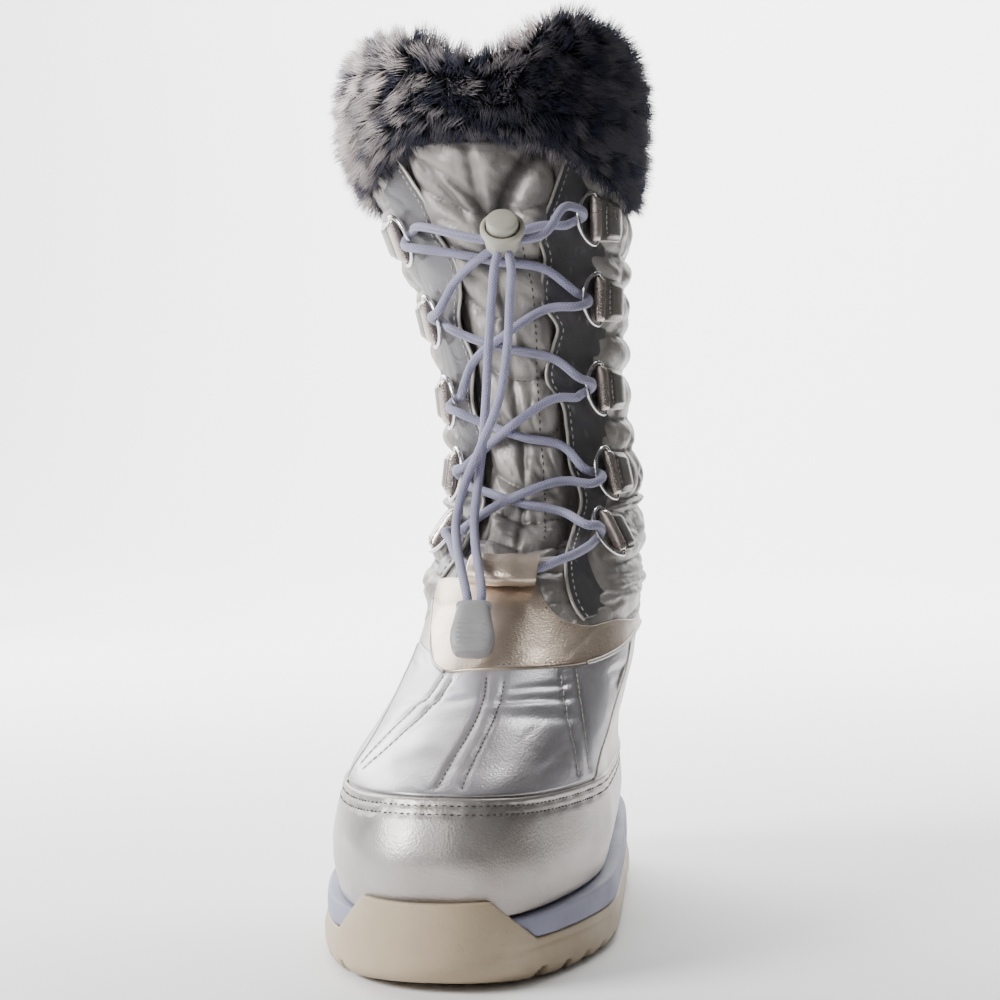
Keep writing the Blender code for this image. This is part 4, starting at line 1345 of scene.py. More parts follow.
    def insole(self) -> None:
        """Footbed with rounded edges, a raised rim at the heel and a shallow hollow."""
        _, y = self.last.outline(self.theta, 0.0)
        base = self.last.bed(y) + self.clear
        top = base + self.insole_thick
        rings = [self.ring(self.insole_inset, base)]
        rings += self.rounding(self.insole_inset, top, self.felt_round, [10, 40, 70, 90])
        rings.append(self.ring(self.insole_inset + 0.006, top - 0.0004))
        mesh = self.lofted("footbed", rings, lambda points: points, 8)
        add_piece(mesh, FELT, ["insole"])

    def build(self) -> None:
        """Make the three pieces."""
        self.outsole()
        self.midsole()
        self.insole()


CREASES = (
    Crease(8, 5.55, 36, 5.45, 0.0016, -0.0007), Crease(6, 5.28, 40, 5.05, 0.0019, -0.0009),
    Crease(-8, 5.30, -36, 5.05, 0.0022, -0.0006), Crease(10, 4.85, 44, 4.55, 0.0024, -0.0006),
    Crease(-50, 4.30, -24, 5.10, 0.0026, 0.0008), Crease(0, 5.08, 30, 4.98, 0.0018, 0.0006),
    Crease(30, 3.6, 46, 4.3, 0.0030, -0.0005), Crease(-30, 3.6, -14, 4.3, 0.0040, 0.0006),
    Crease(60, 5.4, 88, 4.6, 0.0030, -0.0010), Crease(64, 5.0, 96, 4.1, 0.0030, -0.0009),
    Crease(-66, 5.4, -92, 4.6, 0.0030, -0.0010), Crease(-70, 4.9, -98, 4.1, 0.0032, -0.0008),
    Crease(100, 5.3, 140, 5.6, 0.0035, -0.0010), Crease(-100, 5.3, -140, 5.6, 0.0035, -0.0010),
)


TONGUE_FOLDS = (
    Crease(4, 12.9, 29, 14.0, 0.0030, -0.0048), Crease(15, 12.9, 35, 13.6, 0.0060, 0.0022),
    Crease(-31, 14.0, -8, 13.05, 0.0015, -0.0024), Crease(-23, 13.8, 1, 13.05, 0.0015, -0.0022),
    Crease(-27, 13.9, -4, 13.05, 0.0022, 0.0014), Crease(-8, 13.95, 8, 13.6, 0.0060, 0.0018),
    Crease(-14, 12.3, 3, 11.75, 0.0016, -0.0013), Crease(4, 11.5, 18, 11.0, 0.0016, -0.0013),
    Crease(-12, 10.7, 2, 10.2, 0.0016, -0.0012), Crease(3, 10.0, 17, 9.5, 0.0016, -0.0013),
    Crease(-10, 9.3, 4, 8.9, 0.0015, -0.0011),
)


SHELL_LAYER = Layer(0.0003, 0.0012)
RAND_LAYER = Layer(0.0011, 0.0010)
VAMP_LAYER = Layer(0.0010, 0.0008)
SADDLE_LAYER = Layer(0.0017, 0.0010)
SHAFT_LAYER = Layer(0.0006, 0.0012)
THROAT_LAYER = Layer(0.0004, 0.0010)
STAY_LAYER = Layer(0.0016, 0.0012)
CAP_STITCH = Stitch(0.0025, 0.0014, 0.0007, 0.0007)
HOLED_STITCH = Stitch(0.0025, 0.0015, 0.0006, 0.0005)
SUNKEN_STITCH = Stitch(0.0025, 0.0022, 0.0006, 0.0005)
SADDLE_STITCH = Stitch(0.0020, 0.0011, 0.0007, 0.0007)
QUILT_STITCH = Stitch(0.0030, 0.0015, 0.0008, 0.0008)
TONGUE_STITCH = Stitch(0.0030, 0.0015, 0.0007, 0.0007)
STAY_STITCH = Stitch(0.0030, 0.0018, 0.0006, 0.0005)
TAB_STITCH = Stitch(0.0022, 0.0017, 0.0006, 0.0005)


def folds(turn: Array, row: Array, creases: Sequence[Crease]) -> Array:
    """Sum of soft troughs and ridges: each is a bell across its line, fading at its ends.

    Args:
        turn: turns, in degrees.
        row: rows.
        creases: the lines.

    Returns:
        Offsets in metres.
    """
    total = np.zeros(np.broadcast(turn, row).shape)
    for line in creases:
        start = np.array([line.turn_0 * PER_TURN, line.row_0 * PER_ROW])
        run = np.array([line.turn_1 * PER_TURN, line.row_1 * PER_ROW]) - start
        length = np.linalg.norm(run)
        run = run / length
        x, y = turn * PER_TURN - start[0], row * PER_ROW - start[1]
        along = x * run[0] + y * run[1]
        bow = 0.05 * length * np.sin(np.clip(along / length, 0, 1) * math.pi)
        away = -x * run[1] + y * run[0] - bow
        fade = step(along, -0.15 * length, 0.2 * length) \
            * (1 - step(along, 0.8 * length, 1.15 * length))
        total = total + line.depth * np.exp(-(away / line.width) ** 2) * fade
    return total


def crumple(x: Array, y: Array, seed: int, size: float, waves: int = 7) -> Array:
    """Crumpled cloth, from -1 to 1: round hills and sharp valleys of bent, seeded waves.

    Args:
        x: places across the cloth.
        y: places up the cloth.
        seed: seed of the waves.
        size: their mean pitch.
        waves: how many there are.

    Returns:
        Heights.
    """
    rng = np.random.default_rng(seed)
    total = np.zeros(np.broadcast(x, y).shape)
    for k in range(waves):
        angle = rng.uniform(0, math.pi)
        pitch = size * rng.uniform(0.7, 1.6)
        bend = size * 0.8 * np.sin(2 * math.pi * (x * math.sin(angle) - y * math.cos(angle))
                                   / (pitch * 2.3) + rng.uniform(0, 6))
        along = (x * math.cos(angle) + y * math.sin(angle) + bend) / pitch
        total = total + np.sin(2 * math.pi * along + rng.uniform(0, 6))
    return 2 * np.tanh(1.3 * np.sqrt(total ** 2 / waves + 0.05)) - 1


@dataclass
class Upper:
    """Foot shell, rand with its toe cap, vamp, saddle, shaft, eyestays, tongue and lining."""

    last: Last
    wall: float = 0.0028

    def patch(self, name: str, turn: Array, row: Array, layer: Layer, finish: Finish,
              relief: Optional[Array] = None, edge: float = 0.0010, wrap: bool = False,
              tone: Optional[Array] = None, replaces: Sequence[str] = ()) -> bpy.types.Object:
        """A panel of leather or cloth on the last, with rolled edges.

        Args:
            name: the piece's name.
            turn: turns of its grid, in degrees.
            row: rows of its grid.
            layer: its place in the stack.
            finish: its finish.
            relief: added offsets of the outer face.
            edge: how far in from its border the face is rolled down.
            wrap: whether it closes round the foot.
            tone: painted shade and grime at each point.
            replaces: solids that it stands for.

        Returns:
            The piece.
        """
        turn, row = np.broadcast_arrays(turn, row)
        base = self.last.skin(turn, row, 0.0)
        along = lengths(base, 0)
        near = np.minimum(along, along[-1:] - along)
        if not wrap:
            across = lengths(base, 1)
            near = np.minimum(near, np.minimum(across, across[:, -1:] - across))
        roll = np.clip(near / edge, 0, 1)
        roll = np.sqrt(1 - (1 - roll) ** 2)
        off = layer.lift - layer.thick * 0.8 * (1 - roll)
        if relief is not None:
            off = off + relief * np.clip(near / (3 * edge), 0, 1)
        # painted shade and grime along the panel's border, where it meets the next panel
        shade_and_grime = 0.55 * np.exp(-near / 0.0009)
        if tone is not None:
            shade_and_grime = np.maximum(shade_and_grime, tone)
        outer = self.last.skin(turn, row, off)
        inner = self.last.skin(turn, row, np.minimum(layer.lift - layer.thick, off - 0.0002))
        mesh = shell(name, outer, inner, wrap, {"tone": shade_and_grime})
        return add_piece(mesh, finish, replaces)

    @staticmethod
    def shares(count: int) -> Array:
        """Shares from 0 to 1 that crowd towards both ends, as a column."""
        even = np.linspace(0, 1, count)
        return (0.35 * even + 0.65 * (0.5 - 0.5 * np.cos(math.pi * even)))[:, None]

    def cap_row(self, turn: Array) -> Array:
        """Row of the seam between the cap or rand and what is above it."""
        return smooth(np.abs(wrapped(turn)),
                      [0, 15, 32, 50, 70, 93, 130, 160, 180],
                      [3.08, 3.04, 2.93, 2.82, 2.68, 2.45, 2.25, 2.45, 2.62])

    def cloth_row(self, turn: Array) -> Array:
        """Row at which the leather foot gives way to the quilted shaft."""
        return smooth(wrapped(turn),
                      [-180, -120, -80, -60, -53, -38, 12, 20, 27, 38, 45, 56, 67, 81, 99, 120, 180],
                      [5.7, 6.1, 6.6, 7.1, 7.46, 7.58, 7.58, 7.16, 6.88, 6.64, 6.54, 6.50, 6.42,
                       6.18, 6.05, 5.95, 5.7])

    def foot_shell(self) -> None:
        """Smooth leather round the whole foot, under the overlays, creased where it bends."""
        turn = np.linspace(-180, 180, 253)[None, :-1]
        row = self.cloth_row(turn) * self.shares(97)
        relief = folds(turn, row, CREASES)
        # painted shade and grime along the seam under the rand's edge
        shade_and_grime = 0.45 * np.exp(-np.abs(row - self.cap_row(turn)) * PER_ROW / 0.0012)
        self.patch("foot_shell", turn, row, SHELL_LAYER, SHELL, relief, wrap=True, tone=shade_and_grime,
                   replaces=["upper"])

    def rand(self) -> None:
        """Toe cap and rand: a thicker layer low round the foot, with a doubled top edge."""
        turn = np.linspace(-180, 180, 433)[None, :-1]
        high = self.cap_row(turn)
        row = 0.02 + (high - 0.02) * self.shares(69)
        rise = 0.0175
        near = (high - row) * rise
        pucker = np.cos(turn * math.pi / 180 * 54) * 0.00016
        lane = np.exp(-((near - 0.0030) / 0.0013) ** 2) + np.exp(-((near - 0.0060) / 0.0013) ** 2)
        relief = -0.00035 * lane + pucker * lane
        relief += 0.0004 * np.exp(-((near - 0.0012) / 0.0010) ** 2)
        x, y = unrolled(turn, row, FOOT_RADIUS)
        relief += 0.00012 * crumple(x, y, seed=5, size=0.040) * step(near, 0.006, 0.02)
        # the tone paints shade in the two sunken stitch lanes
        self.patch("rand_and_toe_cap", turn, row, RAND_LAYER, SHELL, relief, wrap=True,
                   tone=0.10 * lane)
        for name, drop in (("cap_stitch_upper", 0.0030), ("cap_stitch_lower", 0.0060)):
            line = np.linspace(-112, 112, 260)
            self.stitches(name, line, self.cap_row(line) - drop / rise, 0.0008, CAP_STITCH,
                          DARK_THREAD)

    def vamp(self) -> None:
        """Front panel between cap and saddle, its sides piped, with crease lines across."""
        share = np.linspace(0, 1, 161)[None, :]
        up = self.shares(81)
        left = np.interp(up, [0, 0.2, 0.45, 0.7, 1], [-49, -50.5, -56, -62, -61])
        right = np.interp(up, [0, 0.2, 0.45, 0.7, 1], [60, 62, 68, 76, 80])
        turn = left + (right - left) * share
        low = self.cap_row(turn) + 0.03
        row = low + (6.15 - low) * up
        lines = (
            ((-45.2, 3.30), (-43.8, 3.86), (-40.0, 4.34), (-34.2, 4.81), (-29.2, 5.32),
             (-27.0, 5.77)),
            ((-40.8, 3.25), (-36.8, 3.82), (-32.6, 4.31), (-27.8, 4.76), (-23.6, 5.26),
             (-21.4, 5.74)),
            ((-2.6, 3.25), (-3.2, 3.96), (-2.6, 4.39), (-1.9, 4.86), (-2.3, 5.40), (-3.8, 5.85)),
            ((3.8, 3.25), (3.3, 3.79), (4.0, 4.25), (5.4, 4.76), (6.0, 5.27), (4.8, 5.85)),
            ((50.6, 3.02), (43.8, 3.95), (38.8, 4.58), (34.8, 5.15), (30.8, 5.80)),
            ((56.4, 3.00), (50.8, 3.79), (46.4, 4.45), (42.6, 5.04), (38.4, 5.80)),
        )
        groove = np.zeros(row.shape)
        for k, line in enumerate(lines):
            table = np.array(line)
            at = np.linspace(table[0, 1], table[-1, 1], 80)
            side = smooth(at, table[:, 1], table[:, 0])
            away = (turn - np.interp(row, at, side)) * PER_TURN
            groove += np.exp(-(away / 0.0011) ** 2) * step(row, at[0] - 0.1, at[0] + 0.1) \
                * (1 - step(row, at[-1] - 0.1, at[-1] + 0.2))
            dark = k in (2, 3)
            off = folds(side, at, CREASES) + (0.0006 if dark else 0.0008)
            self.stitches(f"vamp_stitch_{k + 1}", side, at, off,
                          HOLED_STITCH if dark else SUNKEN_STITCH,
                          DARK_THREAD if dark else PALE_THREAD)
        relief = folds(turn, row, CREASES) - 0.00045 * groove
        relief += 0.00013 * crumple(*unrolled(turn, row, FOOT_RADIUS), seed=9, size=0.030)
        # the tone paints shade in the stitch grooves
        self.patch("vamp", turn, row, VAMP_LAYER, VAMP, relief, tone=0.35 * groove)
        for name, side in (("piping_vamp_lateral", left), ("piping_vamp_medial", right)):
            line = side[:, 0]
            rows = self.cap_row(line) + 0.03 + (6.0 - self.cap_row(line)) * up[:, 0]
            self.piping(name, line, rows, 0.0007, 0.00075)

    def saddle(self) -> None:
        """Champagne panel over the instep, its lower seam holed and its medial wing piped."""
        turn = np.linspace(-53, 99, 137)[None, :]
        low = smooth(turn, [-53, -49, -44, -37.4, -27.8, -12.6, 1.4, 27, 45, 69, 84, 99],
                     [7.15, 6.78, 6.38, 6.03, 5.84, 5.96, 6.02, 5.97, 5.88, 5.91, 6.00, 5.98])
        high = smooth(turn, [-53, -38, -15, 0, 12.4, 19.6, 27, 37.8, 45, 56, 67, 81, 99],
                      [7.66, 7.78, 7.80, 7.81, 7.79, 7.38, 7.08, 6.84, 6.74, 6.70, 6.62, 6.38,
                       6.22])
        row = low + (high - low) * self.shares(65)
        relief = 0.00012 * crumple(*unrolled(turn, row, FOOT_RADIUS), seed=12, size=0.036)
        self.patch("saddle_panel", turn, row, SADDLE_LAYER, SADDLE, relief, replaces=["saddle"])
        line = turn[0]
        for name, part, rows in (("low", line <= 52, low[0] + 0.10),
                                 ("top", (line > -22) & (line < 46), high[0] - 0.10)):
            self.stitches(f"saddle_stitch_{name}", line[part], rows[part], 0.0015,
                          SADDLE_STITCH, DARK_THREAD)
        for name, part, off, radius in (("low", line > 44, 0.0016, 0.0008),
                                        ("side", line < -27, 0.0014, 0.0007)):
            self.piping(f"piping_saddle_{name}", line[part], low[0][part], off, radius)

    @staticmethod
    def pillows(row: Array, seams: Sequence[float]) -> Array:
        """Puffed cloth between seams, 0 to 1: a flattened arch of a sine between neighbours.

        Args:
            row: rows of the cloth's grid.
            seams: rows of the seams, rising.

        Returns:
            Shares of the full puff.
        """
        seams = np.asarray(seams, float)
        i = np.clip(np.searchsorted(seams, row, side="right") - 1, 0, len(seams) - 2)
        t = np.clip((row - seams[i]) / (seams[i + 1] - seams[i]), 0, 1)
        return np.sin(math.pi * t) ** 0.6

    def quilt_seams(self) -> list[float]:
        """Rows of the shaft's pinches, at the top and bottom of each pair of tabs.

        Returns:
            The rows, rising.
        """
        rows = []
        tab_turn, half_tab = 75, 0.0098
        for medial, lateral, _ in RING_HEIGHTS[::-1]:
            middle = (medial + lateral) / 2 * self.last.collar_height
            rows += [self.last.row_at(tab_turn, middle + way * half_tab) for way in (-1, 1)]
        return [5.2, 6.5] + sorted(rows) + [TOP_ROW + 0.2]

    def shaft(self) -> None:
        """Quilted cloth shaft, open at the throat, pinched at the tabs and crumpled between."""
        start, end = 35, 325
        turn = np.linspace(start, end, 281)[None, :]
        low = self.cloth_row(turn) - 0.35
        row = low + (TOP_ROW - low) * np.linspace(0, 1, 161)[:, None]
        away = np.minimum(turn - start, end - turn)
        puff = self.pillows(row, self.quilt_seams())
        x, y = unrolled(turn, row, SHAFT_RADIUS, SHAFT_RISE)
        relief = 0.0034 * puff * step(away, 10, 34)
        wrinkle = 0.0012 * crumple(x, y, seed=3, size=0.030, waves=5)
        relief += wrinkle * (0.35 + 0.65 * puff) * step(away, 4, 20)
        relief += 0.0002 * crumple(x, y, seed=4, size=0.012)
        relief *= step(row - low, 0.30, 0.95)
        # painted shade in the valleys between the quilting puffs
        shade_and_grime = 0.5 * (1 - np.clip(puff * 1.3, 0, 1)) * step(away, 10, 30)
        self.patch("shaft_cloth", turn, row, SHAFT_LAYER, SHAFT, relief, edge=0.0016,
                   tone=shade_and_grime)

    def throat(self) -> None:
        """Quilted cloth below the tongue, between saddle and lowest rings."""
        turn = np.linspace(-52, 50, 129)[None, :]
        low = self.cloth_row(turn) - 0.2
        row = low + (8.65 - low) * np.linspace(0, 1, 65)[:, None]
        x, y = unrolled(turn, row, SHIN_RADIUS, SHAFT_RISE)
        puff = self.pillows(row, [6.2, 6.8, 7.35, 7.95, 8.7])
        sunk = step(row, 8.15, 8.6)
        relief = 0.0022 * puff + 0.0008 * crumple(x, y, seed=21, size=0.020, waves=4)
        relief = relief * step(row - low, 0.22, 0.55) * (1 - sunk)
        relief = relief * (1 - step(np.abs(turn), 20, 30)) - 0.0040 * sunk
        # painted shade in the valleys between the puffs
        self.patch("throat_cloth", turn, row, THROAT_LAYER, QUILT, relief,
                   tone=0.4 * (1 - np.clip(puff * 1.4, 0, 1)))

    def tongue(self) -> None:
        """Padded tongue, sunk under the eyestays and puffed between its quilting rows."""
        seams = [8.0, 8.62, 9.22, 9.86, 10.55, 11.2, 11.85, 12.5, 13.15, 14.2]

        def arc(turn: Array) -> Array:
            """How much higher a quilting row is sewn at a turn."""
            return 0.0045 * turn + 0.16 * np.cos(np.radians(turn * 5))

        def face(turn: Array, row: Array) -> tuple[Array, Array]:
            """Offsets of the tongue's face and the painted shade in its seams and folds.

            Args:
                turn: turns round the foot, in degrees.
                row: rows.

            Returns:
                Offsets in metres and painted shade from 0 to 1.
            """
            wide = 9 * step(row, 12.3, 13.5)
            crown = 1 - step(np.abs(turn), 14 + wide, 30 + wide)
            x, y = unrolled(turn, row, SHIN_RADIUS, SHAFT_RISE)
            puff = self.pillows(row + arc(turn), seams)
            seam = np.exp(-((turn + 1) / 2.0) ** 2)
            deep = folds(turn, row, TONGUE_FOLDS)
            relief = 0.0036 * puff * (1 - 0.55 * seam)
            relief += 0.0005 * crumple(x, y, seed=31, size=0.030, waves=4)
            off = -0.0034 + (0.0036 + relief) * crown + deep - 0.0032 * (1 - step(row, 8.2, 8.5))
            # painted shade between the puffs, along the middle seam and in the deep folds
            shade_and_grime = 0.50 * (1 - np.clip(puff * 1.5, 0, 1)) + 0.30 * seam
            return off, shade_and_grime * crown + np.clip(-deep / 0.0045, 0, 0.8)

        turn = np.linspace(-45, 45, 141)[None, :]
        row = 8.2 + (TOP_ROW - 8.2) * np.linspace(0, 1, 177)[:, None]
        off, tone = face(turn, row)
        mesh = shell("quilted_tongue", self.last.skin(turn, row, off),
                     self.last.skin(turn, row, np.minimum(off - 0.0030, -0.0040)), False,
                     {"tone": tone})
        add_piece(mesh, QUILT, ["tongue"])
        sunk = 0.0002
        line = np.linspace(-20, 22, 60)
        for k, seam in enumerate(seams[1:-1]):
            at = seam - arc(line)
            self.stitches(f"tongue_stitch_{k + 1}", line, at, face(line, at)[0] + sunk,
                          QUILT_STITCH, DARK_THREAD)
        line = np.linspace(8.6, 13.0, 120)
        turn = np.full(line.shape, 11.0) + 2.0 * np.sin(line * 1.7)
        self.stitches("tongue_stitch_upright", turn, line, face(turn, line)[0] + sunk,
                      TONGUE_STITCH, DARK_THREAD)

    def eyestay(self, side: Side) -> None:
        """Smooth strip beside the throat, its edge drawn in between the rings, with piping.

        Args:
            side: the side of the foot it is on.
        """
        row = np.linspace(0, 1, 233)[:, None]
        if side is Side.MEDIAL:
            row = 6.9 + (13.9 - 6.9) * row
            near = smooth(row, [6.9, 7.1, 7.5, 8.16, 8.9, 9.5, 9.76, 10.0, 10.5, 10.8, 10.96, 11.44,
                                11.6, 11.89, 12.47, 12.7, 13.2, 13.5, 13.9],
                          [41, 37, 31.2, 26.8, 29, 32.4, 30.2, 26, 25.6, 24, 18, 22.4, 25.4, 18,
                           22.2, 21, 29.6, 35, 42])
            far = smooth(row, [6.9, 7.2, 7.5, 7.95, 8.4, 8.8, 9.3, 9.8, 10.4, 13.9],
                         [70, 60, 51, 43, 39, 41, 50, 56, 60, 60])
            name, nodes = "eyestay_strip_medial", ["eyestay_medial"]
        else:
            row = 7.7 + (13.9 - 7.7) * row
            near = -smooth(row, [7.7, 8.2, 8.9, 9.4, 9.9, 10.3, 10.8, 11.28, 11.7, 12.04, 12.4,
                                 12.8, 13.1, 13.5, 13.9],
                           [48, 38, 33, 27, 31, 25, 30, 24, 29, 23, 20, 25, 25, 31, 38])
            far = -smooth(row, [7.7, 8.2, 8.8, 9.3, 9.8, 10.4, 13.9], [58, 56, 54, 56, 58, 60, 60])
            name, nodes = "eyestay_strip_lateral", ["eyestay_lateral"]
        left, right = (near, far) if side is Side.MEDIAL else (far, near)
        turn = left + (right - left) * self.shares(37).T
        relief = 0.00016 * crumple(*unrolled(turn, row, SHIN_RADIUS, SHAFT_RISE), seed=17, size=0.026)
        self.patch(name, turn, np.broadcast_to(row, turn.shape), STAY_LAYER, STAY, relief,
                   replaces=nodes)
        word = side.name.lower()
        self.piping(f"piping_eyestay_{word}", near[:, 0], row[:, 0], 0.0015, 0.0007)
        inside = near[:, 0] + side.value * 3.2
        self.stitches(f"eyestay_stitch_{word}", inside, row[:, 0], 0.0018, STAY_STITCH,
                      PALE_THREAD)

    def lining(self) -> None:
        """Fleece inside the whole upper, open at the throat."""
        for name, start, end, low, high in (("lining_back", 35, 325, 0.0, TOP_ROW),
                                            ("lining_front", -36, 36, 0.0, 8.75)):
            turn = np.linspace(start, end, 90)[None, :]
            row = low + (high - low) * np.linspace(0, 1, 70)[:, None]
            nap = 0.0003 * crumple(*unrolled(turn, row, SHIN_RADIUS), seed=41, size=0.006)
            outer = self.last.skin(turn, row, -0.0012)
            inner = self.last.skin(turn, row, -self.wall + nap)
            add_piece(shell(name, outer, inner, thin=1), FLEECE)

    def piping(self, name: str, turn: Array, row: Array, off: float, radius: float) -> None:
        """A thin rounded cord of leather along a seam.

        Args:
            name: the piece's name.
            turn: turns of its line.
            row: rows of its line.
            off: distance of its middle outside the last.
            radius: its radius.
        """
        path = resample(self.last.skin(turn, row, off), 0.0012)
        count = np.linspace(0, len(turn) - 1, len(path))
        theta = np.radians(np.interp(count, np.arange(len(turn)), turn))
        rows = np.interp(count, np.arange(len(turn)), row)
        out = self.last.normal(theta, rows)
        add_piece(tube(name, path, radius, 8, across=out), PIPING)

    def stitches(self, name: str, turn: Array, row: Array, off: float | Array, kind: Stitch,
                 finish: Thread) -> None:
        """Stitches at an even pitch along a line on the last.

        Args:
            name: the piece's name.
            turn: turns of the line.
            row: rows of the line.
            off: their distance outside the last.
            kind: the kind of stitch.
            finish: their thread.
        """
        def facing(at: Array, run: Array) -> Array:
            """Normals of the last at distances run."""
            theta = np.radians(np.interp(at, run, turn))
            return self.last.normal(theta, np.interp(at, run, row))

        line = self.last.skin(turn, row, off)
        add_piece(sewn(name, line, kind.pitch / 2, kind, facing), finish)

    def build(self) -> None:
        """Make every panel."""
        self.foot_shell()
        self.rand()
        self.vamp()
        self.saddle()
        self.shaft()
        self.throat()
        self.tongue()
        self.eyestay(Side.MEDIAL)
        self.eyestay(Side.LATERAL)
        self.lining()


@dataclass
class Seat:
    """Place on the shaft where a ring's tab sits: its frame and the surface near it."""

    last: Last
    side: Side
    height: float
    share: float
    turn: float = 50.0
    soft_clear: float = 0.0006
    clear: float = 0.0003
    overlay: float = 0.0011
    wire: float = 0.0018
    slack: float = 0.0005
    thick: float = 0.0022
    wide: float = 0.0180
    long: float = 0.0215
    reach: float = 0.0118

    def __post_init__(self) -> None:
        """Work out the frame: back along the tab, out of the shaft and up its bar."""
        sign = self.side.value
        self.angle = math.radians(self.turn) * sign
        self.row = self.last.row_at(math.degrees(self.angle), self.height)
        tick = 1e-2
        ahead = self.local(self.angle + sign * tick, self.row) - self.local(
            self.angle - sign * tick, self.row)
        above = self.local(self.angle, self.row + tick) - self.local(self.angle, self.row - tick)
        self.back = unit(ahead)
        self.out = unit(np.cross(self.back, above) * sign)
        self.up = unit(np.cross(self.out, self.back)) * sign
        self.loop = self.wire / 2 + self.slack + self.thick / 2
        per_turn = np.linalg.norm(ahead) / (2 * tick)
        self.turns = self.angle + sign * np.linspace(0, self.long * self.share / per_turn, 24)
        self.lift = self.soft_clear * 2 + self.overlay + self.clear
        self.origin = self.local(self.angle, self.row)
        middle = self.flat(self.row)[:, 1]
        rise = np.linalg.norm(above) / (2 * tick)
        worst = 0.0
        for share in (-1.0, -0.5, 0.5, 1.0):
            edge = self.flat(self.row + share * self.wide / 2 / rise)[:, 1]
            worst = max(worst, float((edge - middle).max()))
        self.lift += worst
        self.origin = self.local(self.angle, self.row, self.lift + self.loop)

    def local(self, theta: Array, row: float, off: float = 0.0) -> Array:
        """A point of the skin at an angle in radians."""
        return self.last.skin(np.degrees(theta), row, off)

    def flat(self, row: float, off: float = 0.0) -> Array:
        """Surface points beside the seat in the tab's plane: how far back and how far out."""
        away = self.local(self.turns, row, off) - self.origin
        return np.stack([away @ self.back, away @ self.out], axis=-1)

    def at(self, back: Array, out: Array, up: Array) -> Array:
        """Points from distances back, out and up from the bar's middle."""
        back, out, up = np.broadcast_arrays(back, out, up)
        return (self.origin + back[..., None] * self.back + out[..., None] * self.out
                + up[..., None] * self.up)


